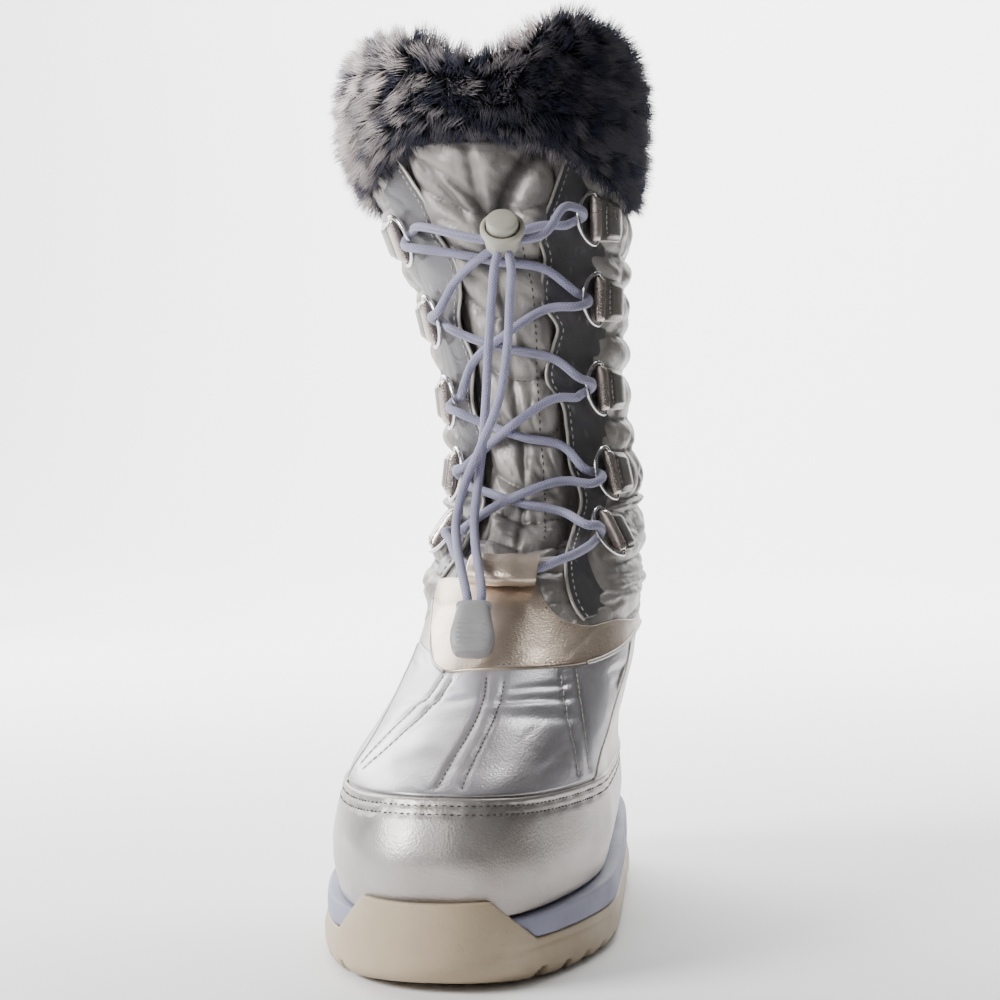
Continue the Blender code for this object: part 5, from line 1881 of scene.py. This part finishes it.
@dataclass
class Hardware:
    """Tabs and D-rings of both sides, the lace tunnel, the cord lock and the clip."""

    last: Last
    lock_place: tuple[float, float, float] = (0.0030, -0.0140, 0.2613)
    lock_turn: tuple[float, float, float] = (50.0, 0.0, 6.0)
    lock_radius: float = 0.0086
    lock_length: float = 0.0115
    button_radius: float = 0.0062
    button_proud: float = 0.0040
    clip_place: tuple[float, float, float] = (-0.0008, -0.0654, 0.11454)
    clip_turn: tuple[float, float, float] = (58.0, 0.0, 4.0)
    clip_tall: float = 0.0215
    clip_wide: float = 0.0165
    clip_deep: float = 0.0085
    tunnel_row: float = 7.85
    tunnel_middle: float = -4.0
    tunnel_turn: float = 16.0
    tunnel_tall: float = 0.0110
    tunnel_deep: float = 0.0075

    def __post_init__(self) -> None:
        """Seats of the ten rings, from the top pair down."""
        self.seats: list[dict[Side, Seat]] = []
        for medial, lateral, share in RING_HEIGHTS:
            tall = self.last.collar_height
            self.seats.append({Side.MEDIAL: Seat(self.last, Side.MEDIAL, medial * tall, share),
                               Side.LATERAL: Seat(self.last, Side.LATERAL, lateral * tall, share)})

    def tab(self, name: str, node: str, seat: Seat) -> None:
        """Folded strap: a nose round the bar, then a padded rounded end back on the shaft.

        The section runs over, round the nose and back under; across the strap its thickness
        falls to nothing at both edges as the root of one less the sixth power.

        Args:
            name: the piece's name.
            node: the solid it stands for.
            seat: where it sits.
        """
        over = seat.flat(seat.row, seat.lift + seat.thick)
        under = seat.flat(seat.row, seat.lift)
        nose = np.radians(np.linspace(80, 280, 16))
        nose = np.stack([np.cos(nose), np.sin(nose)], axis=-1) * seat.loop
        section = np.concatenate([over[:1:-1], nose, under[2:]])
        tail = section[:, 0] / over[-1, 0]
        middle = np.interp(section[:, 0], over[:, 0], (over[:, 1] + under[:, 1]) / 2)
        middle = np.where(section[:, 0] < 0, 0.0, middle * np.clip(section[:, 0] / 0.003, 0, 1))
        across = np.sin(np.linspace(-math.pi / 2, math.pi / 2, 33))
        thick = (1 - np.abs(across) ** 6) ** 0.5
        wide = seat.wide / 2 * (1 - 0.14 * np.clip(tail, 0, 1)) \
            * np.sqrt(np.clip(1 - np.clip((tail - 0.80) / 0.2002, 0, 1) ** 2.6, 0.0, 1))
        upper_face = np.arange(len(section)) < len(over) - 2
        pad = np.sin(np.clip((tail - 0.30) / 0.62, 0, 1) * math.pi) ** 0.5 * upper_face
        pad = pad[:, None] * step(1 - np.abs(across), 0.10, 0.34)[None, :]
        out = middle[:, None] + (section[:, 1] - middle)[:, None] * thick[None, :] + 0.0014 * pad
        points = seat.at(section[:, None, 0], out, wide[:, None] * across[None, :])
        # painted shade round the raised pad, with its top left light
        shade_and_grime = np.broadcast_to(0.75 * np.exp(-((pad - 0.30) / 0.26) ** 2) * upper_face[:, None],
                                out.shape)
        rows, cols = out.shape
        face = quads(rows, cols)
        closing = np.arange(cols)
        last = closing + (rows - 1) * cols
        seam = np.stack([last[:-1], last[1:], closing[1:], closing[:-1]], axis=-1)
        mesh = mesh_of(name, points.reshape(-1, 3), np.concatenate([face, seam]), None,
                       {"tone": shade_and_grime})
        self.paint_fold_highlight(add_piece(mended(mesh, merge=True), TAB, [node]), seat)
        self.tab_stitch(name, seat, over)

    @staticmethod
    def paint_fold_highlight(piece: bpy.types.Object, seat: Seat) -> None:
        """Give the faces round the bar a brighter, glossier finish: a painted highlight on the fold.

        Args:
            piece: the tab.
            seat: where it sits.
        """
        mesh = piece.data
        mesh.materials.append(look(FOLD))
        centres = np.zeros(len(mesh.polygons) * 3)
        mesh.polygons.foreach_get("center", centres)
        back = (centres.reshape(-1, 3) - seat.origin) @ seat.back
        mesh.polygons.foreach_set("material_index", (back < 0.0030).astype(np.int32))

    def tab_stitch(self, name: str, seat: Seat, over: Array) -> None:
        """Pale stitches in a rounded box on the tab's face.

        Args:
            name: the tab's name.
            seat: where it sits.
            over: how far back and out its upper face runs.
        """
        turn = np.linspace(0, 2 * math.pi, 160)
        box, tall = powered(np.cos(turn), 0.45), powered(np.sin(turn), 0.45)
        back = over[-1, 0] * (0.60 + 0.29 * box)
        up = seat.wide / 2 * (0.72 - 0.06 * box) * tall
        out = np.interp(back, over[:, 0], over[:, 1]) + 0.0003
        mesh = sewn(name + "_stitch", seat.at(back, out, up), 0.0008, TAB_STITCH,
                    lambda at, run: seat.out)
        add_piece(mesh, PALE_THREAD)

    def ring(self, name: str, node: str, seat: Seat) -> None:
        """D-ring: a straight bar in the tab's fold and a half circle towards the throat.

        Args:
            name: the piece's name.
            node: the solid it stands for.
            seat: where its tab sits.
        """
        half = (seat.wide + 2 * (seat.wire + seat.slack)) / 2 - seat.wire / 2
        turn = np.linspace(-math.pi / 2, -3 * math.pi / 2, 48)
        straight = seat.reach - half
        bow_back = half * np.cos(turn) - straight
        bow_up = half * np.sin(turn)
        bar = np.linspace(half, -half, 20)[1:-1]
        back = np.concatenate([np.zeros(18), bow_back])
        up = np.concatenate([bar, bow_up])
        path = seat.at(back, 0.0, up)
        mesh = tube(name, path, seat.wire / 2, 12, closed=True, across=tuple(seat.out))
        add_piece(mesh, METAL, [node])

    def tunnel(self) -> None:
        """Flattened loop of leather over the saddle's top, open at both ends.

        Its section is a squashed circle on the last: rows go with the sine, offsets with the
        cosine, and the bore is the same section drawn in by the wall.
        """
        turn = self.tunnel_middle + np.linspace(-self.tunnel_turn, self.tunnel_turn, 65)
        around = np.linspace(0, 2 * math.pi, 48, endpoint=False)
        per_row = 0.0214
        middle = 0.0020 + self.tunnel_deep / 2
        layers = []
        for inset in (0.0, 0.0012):
            rows = self.tunnel_row + np.sin(around) * (self.tunnel_tall / 2 - inset) / per_row
            offs = middle + powered(np.cos(around), 0.7) * (self.tunnel_deep / 2 - inset)
            offs = offs[None, :] + 0.0002 * np.cos(np.radians(turn * 26))[:, None]
            layers.append(self.last.skin(turn[:, None], rows[None, :], offs))
        mesh = shell("tunnel_loop", layers[0], layers[1], wrap=True, thin=1)
        add_piece(mended(mesh), SADDLE, ["lace_tunnel"])

    def turned(self, name: str, profile: Sequence[tuple[float, float]], finish: Finish,
               nodes: Sequence[str], body: str,
               tone: Optional[Callable[[Array, Array], Array]] = None) -> None:
        """A form turned about the lock's axis from its profile of radius and height.

        Args:
            name: the piece's name.
            profile: radii and heights from the top middle to the bottom middle.
            finish: its finish.
            nodes: solids that it stands for.
            body: the body that it rides on.
            tone: gives painted shade from radius and height.
        """
        table = np.array(profile, float)
        sides = 72
        turn = np.linspace(0, 2 * math.pi, sides, endpoint=False)
        radius = table[::-1, 0][:, None]
        height = np.broadcast_to(table[::-1, 1][:, None], (len(table), sides))
        local = np.stack([radius * np.cos(turn), radius * np.sin(turn), height], axis=-1)
        points = self.lock_points(local.reshape(-1, 3))
        marks = None
        if tone is not None:
            marks = {"tone": tone(np.broadcast_to(radius, height.shape), height)}
        mesh = mesh_of(name, points, quads(len(table), sides, wrap=True), None, marks)
        add_piece(mended(mesh, merge=True), finish, nodes, body)

    def lock_points(self, local: Array) -> Array:
        """Points of the lock's own frame in the model's."""
        return placed(local, self.lock_turn, self.lock_place) + self.last.shift

    def lock(self) -> None:
        """Barrel lock: a flanged mouth, a recess, a barrel and a domed button in the bore."""
        r, half = self.lock_radius, self.lock_length / 2
        bore, deep = self.button_radius + 0.0003, half
        arc = [(r - 0.0011 * (1 - math.sin(t)), half - 0.0011 * (1 - math.cos(t)))
               for t in np.radians([0, 22, 45, 67, 90])]
        profile = [(0, half - deep), (bore, half - deep), (bore, half - 0.0006),
                   (bore + 0.0005, half)] + arc
        profile += [(r, half - 0.0027), (r - 0.0003, half - 0.0033), (r - 0.0010, half - 0.0037),
                    (r - 0.0011, half - 0.0044), (r - 0.0018, -half + 0.0020),
                    (r - 0.0026, -half + 0.0006), (r - 0.0040, -half), (0, -half)]
        # painted shade inside the bore
        self.turned("lock_barrel", profile, LOCK, ["cord_lock"], BOOT,
                    lambda radius, height: 0.8 * (radius < bore + 0.0002) * (height < half))
        top = half + self.button_proud
        size = self.button_radius
        dome = [(size * math.sin(t), top - size * 0.20 * (1 - math.cos(t)))
                for t in np.radians([0, 20, 40, 60, 78])]
        profile = dome + [(size, top - 0.0016), (size, half - deep + 0.0033),
                          (0, half - deep + 0.0033)]
        self.turned("lock_push_button", profile, LOCK, ["lock_button"], BUTTON)

    def clip(self) -> None:
        """Bell-shaped cord clip: narrow at the cords, full below, ribbed in front, grooved.

        Across each height the section is a rounded box of power four; its half sizes follow a
        smooth table of the clip's height.
        """
        sides = 64
        up = np.concatenate([[1.0], np.linspace(0.98, -0.98, 78), [-1.0]])
        places = [-1, -0.97, -0.8, -0.3, 0.2, 0.6, 0.85, 0.97, 1]
        wide = smooth(-up, places,
                      [0.50, 0.66, 0.74, 0.88, 1.0, 0.97, 0.80, 0.55, 0.30]) * self.clip_wide / 2
        deep = smooth(-up, places,
                      [0.55, 0.80, 0.90, 1.0, 1.0, 0.95, 0.80, 0.55, 0.30]) * self.clip_deep / 2
        wide[[0, -1]] = 0
        deep[[0, -1]] = 0
        turn = np.linspace(0, 2 * math.pi, sides, endpoint=False)
        x, z = powered(np.cos(turn), 0.6), powered(np.sin(turn), 0.6)
        ribs = 0.00022 * np.cos(up * 34) * (np.abs(up + 0.25) < 0.42)
        front = step(z, 0.75, 0.98) * (np.abs(x) < 0.62)
        groove = 1 - 0.16 * np.exp(-(z / 0.28) ** 2) * (np.abs(up) < 0.86)[:, None]
        local = np.stack(np.broadcast_arrays(
            wide[:, None] * x[None, :] * groove, (up * self.clip_tall / 2)[:, None],
            deep[:, None] * z[None, :] + ribs[:, None] * front[None, :]), axis=-1)
        points = placed(local.reshape(-1, 3), self.clip_turn, self.clip_place) + self.last.shift
        mesh = mesh_of("clip_body", points, quads(len(up), sides, wrap=True))
        self.clip_piece = add_piece(mended(mesh, merge=True), CLIP, ["cord_end"])

    def build(self) -> None:
        """Make every fitting."""
        for k, pair in enumerate(self.seats):
            for side, seat in pair.items():
                word = side.name.lower()
                self.tab(f"strap_{word}_{k + 1}", f"tab_{word}_{k + 1}", seat)
                self.ring(f"wire_{word}_{k + 1}", f"ring_{word}_{k + 1}", seat)
        self.tunnel()
        self.lock()
        self.clip()


@dataclass
class Lacing:
    """The lace: from the lock down through the rings and the tunnel, and its free ends."""

    last: Last
    fittings: Hardware
    width: float = 0.0035
    over: float = 0.0082
    under: float = 0.0046
    tuck: float = 0.0070
    tuck_depth: float = 0.0020
    ring_edge: float = 22.0
    end_a: tuple = (
        (0.0012, -0.0163, 0.2540), (0.0005, -0.0170, 0.2508), (-0.0010, -0.0155, 0.2380),
        (-0.0030, -0.0110, 0.2180), (-0.0045, -0.0075, 0.1980), (-0.0060, -0.0070, 0.1800),
        (-0.0070, -0.0110, 0.1660), (-0.0070, -0.0205, 0.1530), (-0.0045, -0.0335, 0.1425),
        (-0.0010, -0.0475, 0.1340), (0.0013, -0.0590, 0.1251), (0.0010, -0.0606, 0.1222))
    end_b: tuple = (
        (0.0058, -0.0163, 0.2540), (0.0065, -0.0170, 0.2508), (0.0060, -0.0155, 0.2380),
        (0.0045, -0.0125, 0.2180), (0.0010, -0.0115, 0.1980), (-0.0060, -0.0125, 0.1800),
        (-0.0120, -0.0125, 0.1660), (-0.0140, -0.0195, 0.1530), (-0.0115, -0.0335, 0.1425),
        (-0.0075, -0.0475, 0.1340), (-0.0037, -0.0590, 0.1251), (-0.0030, -0.0606, 0.1222))

    def through(self, seat: Seat, down: bool) -> Array:
        """Points where the lace goes round a ring's bow: in from one strand, out to the other.

        Args:
            seat: the ring's seat.
            down: whether the lace runs down the boot here.

        Returns:
            The points.
        """
        hold = seat.reach - seat.wire / 2 - self.width / 2 - 0.0002
        clear = seat.reach + seat.wire / 2 + self.width / 2
        sign = 1.0 if down else -1.0
        back = -np.array([clear + 0.0040, seat.reach + 0.0006, hold, seat.reach + 0.0006,
                          clear + 0.0040])
        out = np.array([0.0016, 0.0026, 0.0, -0.0026, -0.0014])
        up = sign * np.array([0.0036, 0.0020, 0.0, -0.0020, -0.0036])
        return seat.at(back, out, up)

    def crossing(self, low: Seat, high: Seat) -> Array:
        """Inner points of a strand from a low ring to the high ring opposite, over the tongue.

        A strand that starts on the lateral side lies over the one that starts on the medial.

        Args:
            low: the lower ring's seat.
            high: the upper ring's seat.

        Returns:
            Points from low to high.
        """
        start, end = math.degrees(low.angle), math.degrees(high.angle)
        start -= math.copysign(self.ring_edge, start)
        end -= math.copysign(self.ring_edge, end)
        if low.side is Side.LATERAL:
            rise, most = np.array([0.34, 0.66, 0.90]), self.over
        else:
            rise, most = np.array([0.40, 0.55, 0.74]), self.under
        share = np.array([0.12, 0.50, 0.88])
        turn = start + (end - start) * share
        row = low.row + (high.row - low.row) * rise
        off = self.under + (most - self.under) * np.sin(share * math.pi)
        return self.last.skin(turn, row, off)

    def strand(self, side: Side, down: bool) -> list[Array]:
        """The lace through all five pairs of rings, one side and then the other.

        Args:
            side: side of the first ring.
            down: whether it goes from the top pair to the lowest, or up.

        Returns:
            Its points, part by part.
        """
        pairs = self.fittings.seats if down else self.fittings.seats[::-1]
        path = []
        for pair, following in zip(pairs, [*pairs[1:], None]):
            path.append(self.through(pair[side], down))
            if following is None:
                break
            ends = (following[side.other], pair[side]) if down else (pair[side],
                                                                     following[side.other])
            line = self.crossing(*ends)
            path.append(line[::-1] if down else line)
            side = side.other
        return path

    def lace(self) -> None:
        """One line from the lock through every ring and back, as the boot is laced."""
        tucked = np.array([[self.tuck, 0.0, -self.tuck_depth], [-self.tuck, 0.0, -self.tuck_depth]])
        lock = self.fittings.lock_points(tucked)
        leaving = lock + np.array([[0.006, 0.001, 0.0012], [-0.006, 0.001, 0.0012]])
        turn = np.linspace(27, -29, 9)
        middle = 0.0020 + self.fittings.tunnel_deep / 2
        away = np.abs(turn - self.fittings.tunnel_middle)
        row = np.interp(away, [0, 16, 31], [self.fittings.tunnel_row, 7.88, 8.10])
        across = self.last.skin(turn, row, middle + 0.0006 * (away > 18))
        path = [lock[:1], leaving[:1], *self.strand(Side.MEDIAL, True), across,
                *self.strand(Side.LATERAL, False), leaving[1:], lock[1:]]
        line = resample(np.concatenate(path), 0.0011)
        LOG.info("the laced part runs %.3f m", run_along(line)[-1])
        mesh = tube("lace_laced", line, self.width / 2, 12)
        crossings = [f"lace_cross_{k}" for k in range(1, 5)]
        add_piece(mesh, LACE, [*crossings, "lace_bar", "lace_top_medial", "lace_top_lateral"])

    def free_end(self, name: str, node: str, points: Sequence) -> None:
        """A free end of the lace from the lock down to the clip.

        Args:
            name: the piece's name.
            node: the solid it stands for.
            points: its route, in the model's own coordinates.
        """
        line = resample(np.array(points) + self.last.shift, 0.0025)
        mesh = tube(name, line, self.width / 2, 14, across=(0.0, -1.0, 0.35))
        piece = add_piece(mesh, LACE, [node])

    def build(self) -> None:
        """Make the lace and its two free ends."""
        self.lace()
        self.free_end("lace_free_a", "lace_end_a", self.end_a)
        self.free_end("lace_free_b", "lace_end_b", self.end_b)


@dataclass
class FurCuff:
    """Fur round the collar: a dark padded core and many tapered hairs drawn into locks."""

    last: Last
    hairs: int = 18500
    sheaves: int = 4
    seed: int = 23
    section: tuple = (
        (0.0008, -0.0165, 1.0), (0.0060, -0.0185, 1.0), (0.0105, -0.0060, 0.7),
        (0.0125, 0.0180, 0.0), (0.0100, 0.0360, 0.0), (0.0020, 0.0470, 0.0),
        (-0.0080, 0.0450, 0.0), (-0.0140, 0.0300, 0.0), (-0.0130, 0.0100, 0.0),
        (-0.0050, 0.0024, 0.0), (0.0008, 0.0024, 0.0))
    front_lift: float = 0.0205
    lobes: tuple = ((2.0, 22.0, -0.0130), (48.0, 26.0, 0.0050), (-48.0, 26.0, -0.0040))
    pile: float = 0.047
    core_inset: float = 0.0045
    root_depth: float = 0.0048
    hair_length: float = 0.0092
    lock_cells: int = 3
    lock_kinds: int = 4093
    lock_lean: float = 0.42

    def __post_init__(self) -> None:
        """Grid of the cuff's surface: turns down, round the section across."""
        self.turns = np.linspace(-180, 180, 181)[:-1]
        table = np.array(self.section)
        around = np.linspace(0, len(table), 78)[:-1]
        closed = np.concatenate([table[-2:], table, table[:3]])
        at = np.arange(-2, len(table) + 3)
        reach, height, follow = (smooth(around, at, closed[:, k])[:, None] for k in range(3))
        turn = self.turns[None, :]
        front = np.clip(np.cos(np.radians(turn)), 0, 1) ** 2
        lobe = sum(h * np.exp(-((turn - a) / s) ** 2) for a, s, h in self.lobes)
        z = self.last.collar_height + height + self.front_lift * front * follow
        z = z + lobe * np.maximum(height, 0) / self.pile
        rows = np.linspace(12, TOP_ROW, 81)[:, None]
        theta = np.radians(self.turns)[None, :] + 0 * rows
        ring = self.last.point(theta, rows + 0 * theta)
        level = np.minimum(z, self.last.collar_height)
        near = np.abs(ring[None, :, :, 2] - level[:, None, :]).argmin(axis=1)
        base = ring[near, np.arange(len(self.turns))[None, :]]
        out = self.last.normal(np.radians(self.turns), np.full(len(self.turns), 13.9))
        out[:, 2] = 0
        out = unit(out)
        points = base + out[None] * reach[..., None]
        points[..., 2] = z
        self.surface = points + self.last.shift
        around_step = np.roll(self.surface, -1, 0) - np.roll(self.surface, 1, 0)
        turn_step = np.roll(self.surface, -1, 1) - np.roll(self.surface, 1, 1)
        self.normals = unit(np.cross(turn_step, around_step))
        self.area = np.linalg.norm(np.cross(turn_step, around_step), axis=-1)

    def core(self) -> None:
        """The dark padded core, drawn in from the surface so that hair covers it."""
        points = self.surface - self.normals * self.core_inset
        rows, cols = points.shape[:2]
        index = np.pad(np.arange(rows * cols).reshape(rows, cols), ((0, 1), (0, 1)), mode="wrap")
        face = np.stack([index[:-1, :-1], index[:-1, 1:], index[1:, 1:], index[1:, :-1]],
                        axis=-1).reshape(-1, 4)
        zeros = np.zeros(rows * cols)
        mesh = mesh_of("fur_core", points.reshape(-1, 3), face, None,
                       {"tip": zeros, "shade": zeros})
        add_piece(mesh, HAIR, ["fur_cuff"])

    def sheaf(self, index: int) -> None:
        """A share of the hairs, each a three-sided spike bent over its length.

        A hair starts below the surface along a blend of the normal and the way the fur is
        combed, down outside and up on top, and its tip is drawn to that of its lock.

        Args:
            index: the share's number, from 0.
        """
        rng = np.random.default_rng(self.seed + index)
        rows, cols = self.surface.shape[:2]
        chance = (self.area / self.area.sum()).ravel()
        pick = rng.choice(rows * cols, self.hairs, p=chance)
        r, c = pick // cols, pick % cols
        jitter = rng.uniform(-0.5, 0.5, (self.hairs, 2))
        down = self.surface[(r + 1) % rows, c] - self.surface[(r - 1) % rows, c]
        side = self.surface[r, (c + 1) % cols] - self.surface[r, (c - 1) % cols]
        root = self.surface[r, c] + down * jitter[:, :1] * 0.5 + side * jitter[:, 1:] * 0.5
        normal = self.normals[r, c]
        root = root - normal * self.root_depth
        cells = self.lock_cells
        lock_r = np.floor((r + rng.uniform(-1.2, 1.2, self.hairs)) / cells).astype(int)
        lock_c = np.floor((c + rng.uniform(-1.0, 1.0, self.hairs) + 1.5 * (lock_r % 2)) / cells)
        lock_c = lock_c.astype(int)
        lock = (lock_r * 977 + lock_c * 131) % self.lock_kinds
        table = np.random.default_rng(self.seed).uniform(-1, 1, (self.lock_kinds, 5))
        sway = table[lock]
        lean = self.lock_lean * sway[:, :3]
        outside = np.clip(normal[:, 2:3] * -1 + 0.35, 0, 1)
        comb = np.array([0.0, 0.0, -1.0]) * (0.75 * (np.abs(normal[:, 2:3]) < 0.75)
                                             + 0.25 * outside)
        way = unit(normal + comb * (0.55 + 0.25 * sway[:, 3:4]) + lean
                   + rng.normal(0, 0.12, (self.hairs, 3)))
        length = self.hair_length + 0.0024 * sway[:, 4]
        length = (length + rng.uniform(-0.0016, 0.0016, self.hairs))[:, None]
        middle = np.clip(lock_r * cells + 1, 0, rows - 1), (lock_c * cells + 1) % cols
        goal = self.surface[middle] + unit(self.normals[middle] + comb * 0.6 + lean) \
            * length * 0.72
        pull = rng.uniform(0.25, 0.60, (self.hairs, 1))
        tip = root + way * length
        far = np.linalg.norm(goal - tip, axis=1, keepdims=True) > 0.012
        tip = np.where(far, tip, tip * (1 - pull) + goal * pull)
        one = unit(np.cross(way, rng.normal(0, 1, (self.hairs, 3))))
        two = np.cross(way, one)
        size = rng.uniform(0.00018, 0.00030, (self.hairs, 1, 1))
        turn = np.radians([0, 120, 240])
        fan = one[:, None] * np.cos(turn)[None, :, None] + two[:, None] * np.sin(turn)[None, :, None]
        points = np.concatenate([root[:, None] + fan * size, tip[:, None]], axis=1)
        face = np.array([[0, 1, 3], [1, 2, 3], [2, 0, 3], [0, 2, 1]])
        faces = face[None] + (np.arange(self.hairs) * 4)[:, None, None]
        light = np.clip(0.42 + 0.55 * table[(lock * 7) % self.lock_kinds, 4]
                        + rng.normal(0, 0.12, self.hairs), 0, 1)
        # painted light: hairs facing the lateral side (-X) or up get a lighter shade mark, and the
        # others are shaded darker
        edge = np.clip(-normal[:, 0] * 0.75 + 0.25 + 0.45 * np.clip(normal[:, 2], 0, 1), 0, 1)
        light = light * (0.10 + 0.90 * edge ** 1.5)
        marks = {"tip": np.tile([0.0, 0.0, 0.0, 1.0], self.hairs), "shade": np.repeat(light, 4)}
        mesh = mesh_of(f"fur_locks_{index + 1}", points.reshape(-1, 3), faces.reshape(-1, 3),
                       None, marks)
        add_piece(mesh, HAIR)

    def build(self) -> None:
        """Make the core and the hairs."""
        self.core()
        for index in range(self.sheaves):
            self.sheaf(index)


class Lamp(NamedTuple):
    """A square soft light: its name, place, size, power in watts and aim."""

    name: str
    place: tuple[float, float, float]
    size: float
    power: float
    aim: tuple[float, float, float] = (0.0, 0.0, 0.15)


@dataclass
class Studio:
    """Pale floor, soft lights and the camera at the photograph's angle."""

    last: Last
    lamps: tuple = (
        Lamp("key", (-1.25, -0.75, 1.00), 0.80, 48.0),
        Lamp("front", (-0.5, -1.4, 0.9), 1.0, 5.0),
        Lamp("rim_left", (-0.8, 0.8, 0.7), 0.7, 16.0),
        Lamp("backdrop", (0.0, 1.3, 2.2), 1.6, 330.0, aim=(0.0, 3.0, 0.7)))
    sky: float = 0.11
    azimuth: float = 8.0
    distance: float = 0.935
    height: float = 0.187
    lens: float = 86.4
    rise: float = -0.07

    def camera(self) -> None:
        """Level camera in front of the toe, turned to the medial side, its view shifted down."""
        data = bpy.data.cameras.new("photo_camera")
        data.lens = self.lens
        data.sensor_width = 36.0
        data.shift_y = self.rise
        data.clip_start = 0.05
        camera = linked("photo_camera", data)
        turn = math.radians(self.azimuth)
        camera.location = (math.sin(turn) * self.distance + self.last.shift[0],
                           -math.cos(turn) * self.distance + self.last.shift[1], self.height)
        camera.rotation_euler = (math.radians(90), 0, turn)
        bpy.context.scene.camera = camera

    @staticmethod
    def light(lamp: Lamp) -> None:
        """Make one of the lights.

        Args:
            lamp: the light's sizes.
        """
        data = bpy.data.lights.new(lamp.name, "AREA")
        data.size = lamp.size
        data.energy = lamp.power
        made = linked(lamp.name, data)
        made.location = lamp.place
        way = Vector(lamp.aim) - Vector(lamp.place)
        made.rotation_euler = way.to_track_quat("-Z", "Y").to_euler()

    @staticmethod
    def floor() -> bpy.types.Object:
        """A pale floor that bends up into a wall behind the boot.

        Returns:
            The floor.
        """
        size, bend, wall = 6.0, 2.2, 3.0
        turn = np.radians(np.linspace(0, 90, 24))
        y = np.concatenate([[-size], bend + np.sin(turn), [bend + 1.0]])
        z = np.concatenate([[0.0], 1.0 - np.cos(turn), [wall]])
        x = np.array([size, -size])[None, :]
        points = np.stack(np.broadcast_arrays(x, y[:, None], z[:, None]), axis=-1)
        mesh = mesh_of("pale_floor", points.reshape(-1, 3), quads(len(y), 2)[:, ::-1])
        graph = Graph("pale_floor")
        cloud = graph.noise(graph.place(), 3.0, 2.0)
        base = graph.mix(cloud, (0.90, 0.90, 0.90), (0.87, 0.87, 0.87))
        mesh.materials.append(graph.finish(base, 0.8))
        return linked("pale_floor", mesh)

    @staticmethod
    def screen() -> bpy.types.Object:
        """A dark board on the medial side that only shows in the boot's reflections, so that side
        reflects dark as if in shade.

        Returns:
            The board.
        """
        aside, front, back, tall = 0.50, -0.7, 1.3, 1.1
        corners = np.array([[aside, front, 0.0], [aside, back, 0.0], [aside, back, tall],
                            [aside, front, tall]])
        mesh = mesh_of("dark_screen", corners, np.array([[3, 2, 1, 0]]))
        mesh.materials.append(Graph("dark_screen").finish((0.01, 0.01, 0.01, 1.0), 0.9))
        board = linked("dark_screen", mesh)
        board.visible_camera = False
        board.visible_diffuse = False
        board.visible_shadow = False
        return board

    def build(self) -> None:
        """Make the floor, the screen, the sky, the lights and the camera."""
        self.floor()
        self.screen()
        world = bpy.data.worlds.new("studio")
        world.use_nodes = True
        sky = world.node_tree.nodes["Background"]
        sky.inputs["Color"].default_value = (1, 1, 1, 1)
        sky.inputs["Strength"].default_value = self.sky
        bpy.context.scene.world = world
        for lamp in self.lamps:
            self.light(lamp)
        self.camera()


def main() -> None:
    """Build the boot's looks in order."""
    logging.basicConfig(level=logging.INFO, format="%(name)s %(message)s")
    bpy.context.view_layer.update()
    last = Last()
    Studio(last).build()
    fittings = Hardware(last)
    fittings.build()
    Lacing(last, fittings).build()
    Sole(last).build()
    Upper(last).build()
    FurCuff(last).build()


if __name__ == "__main__":
    main()
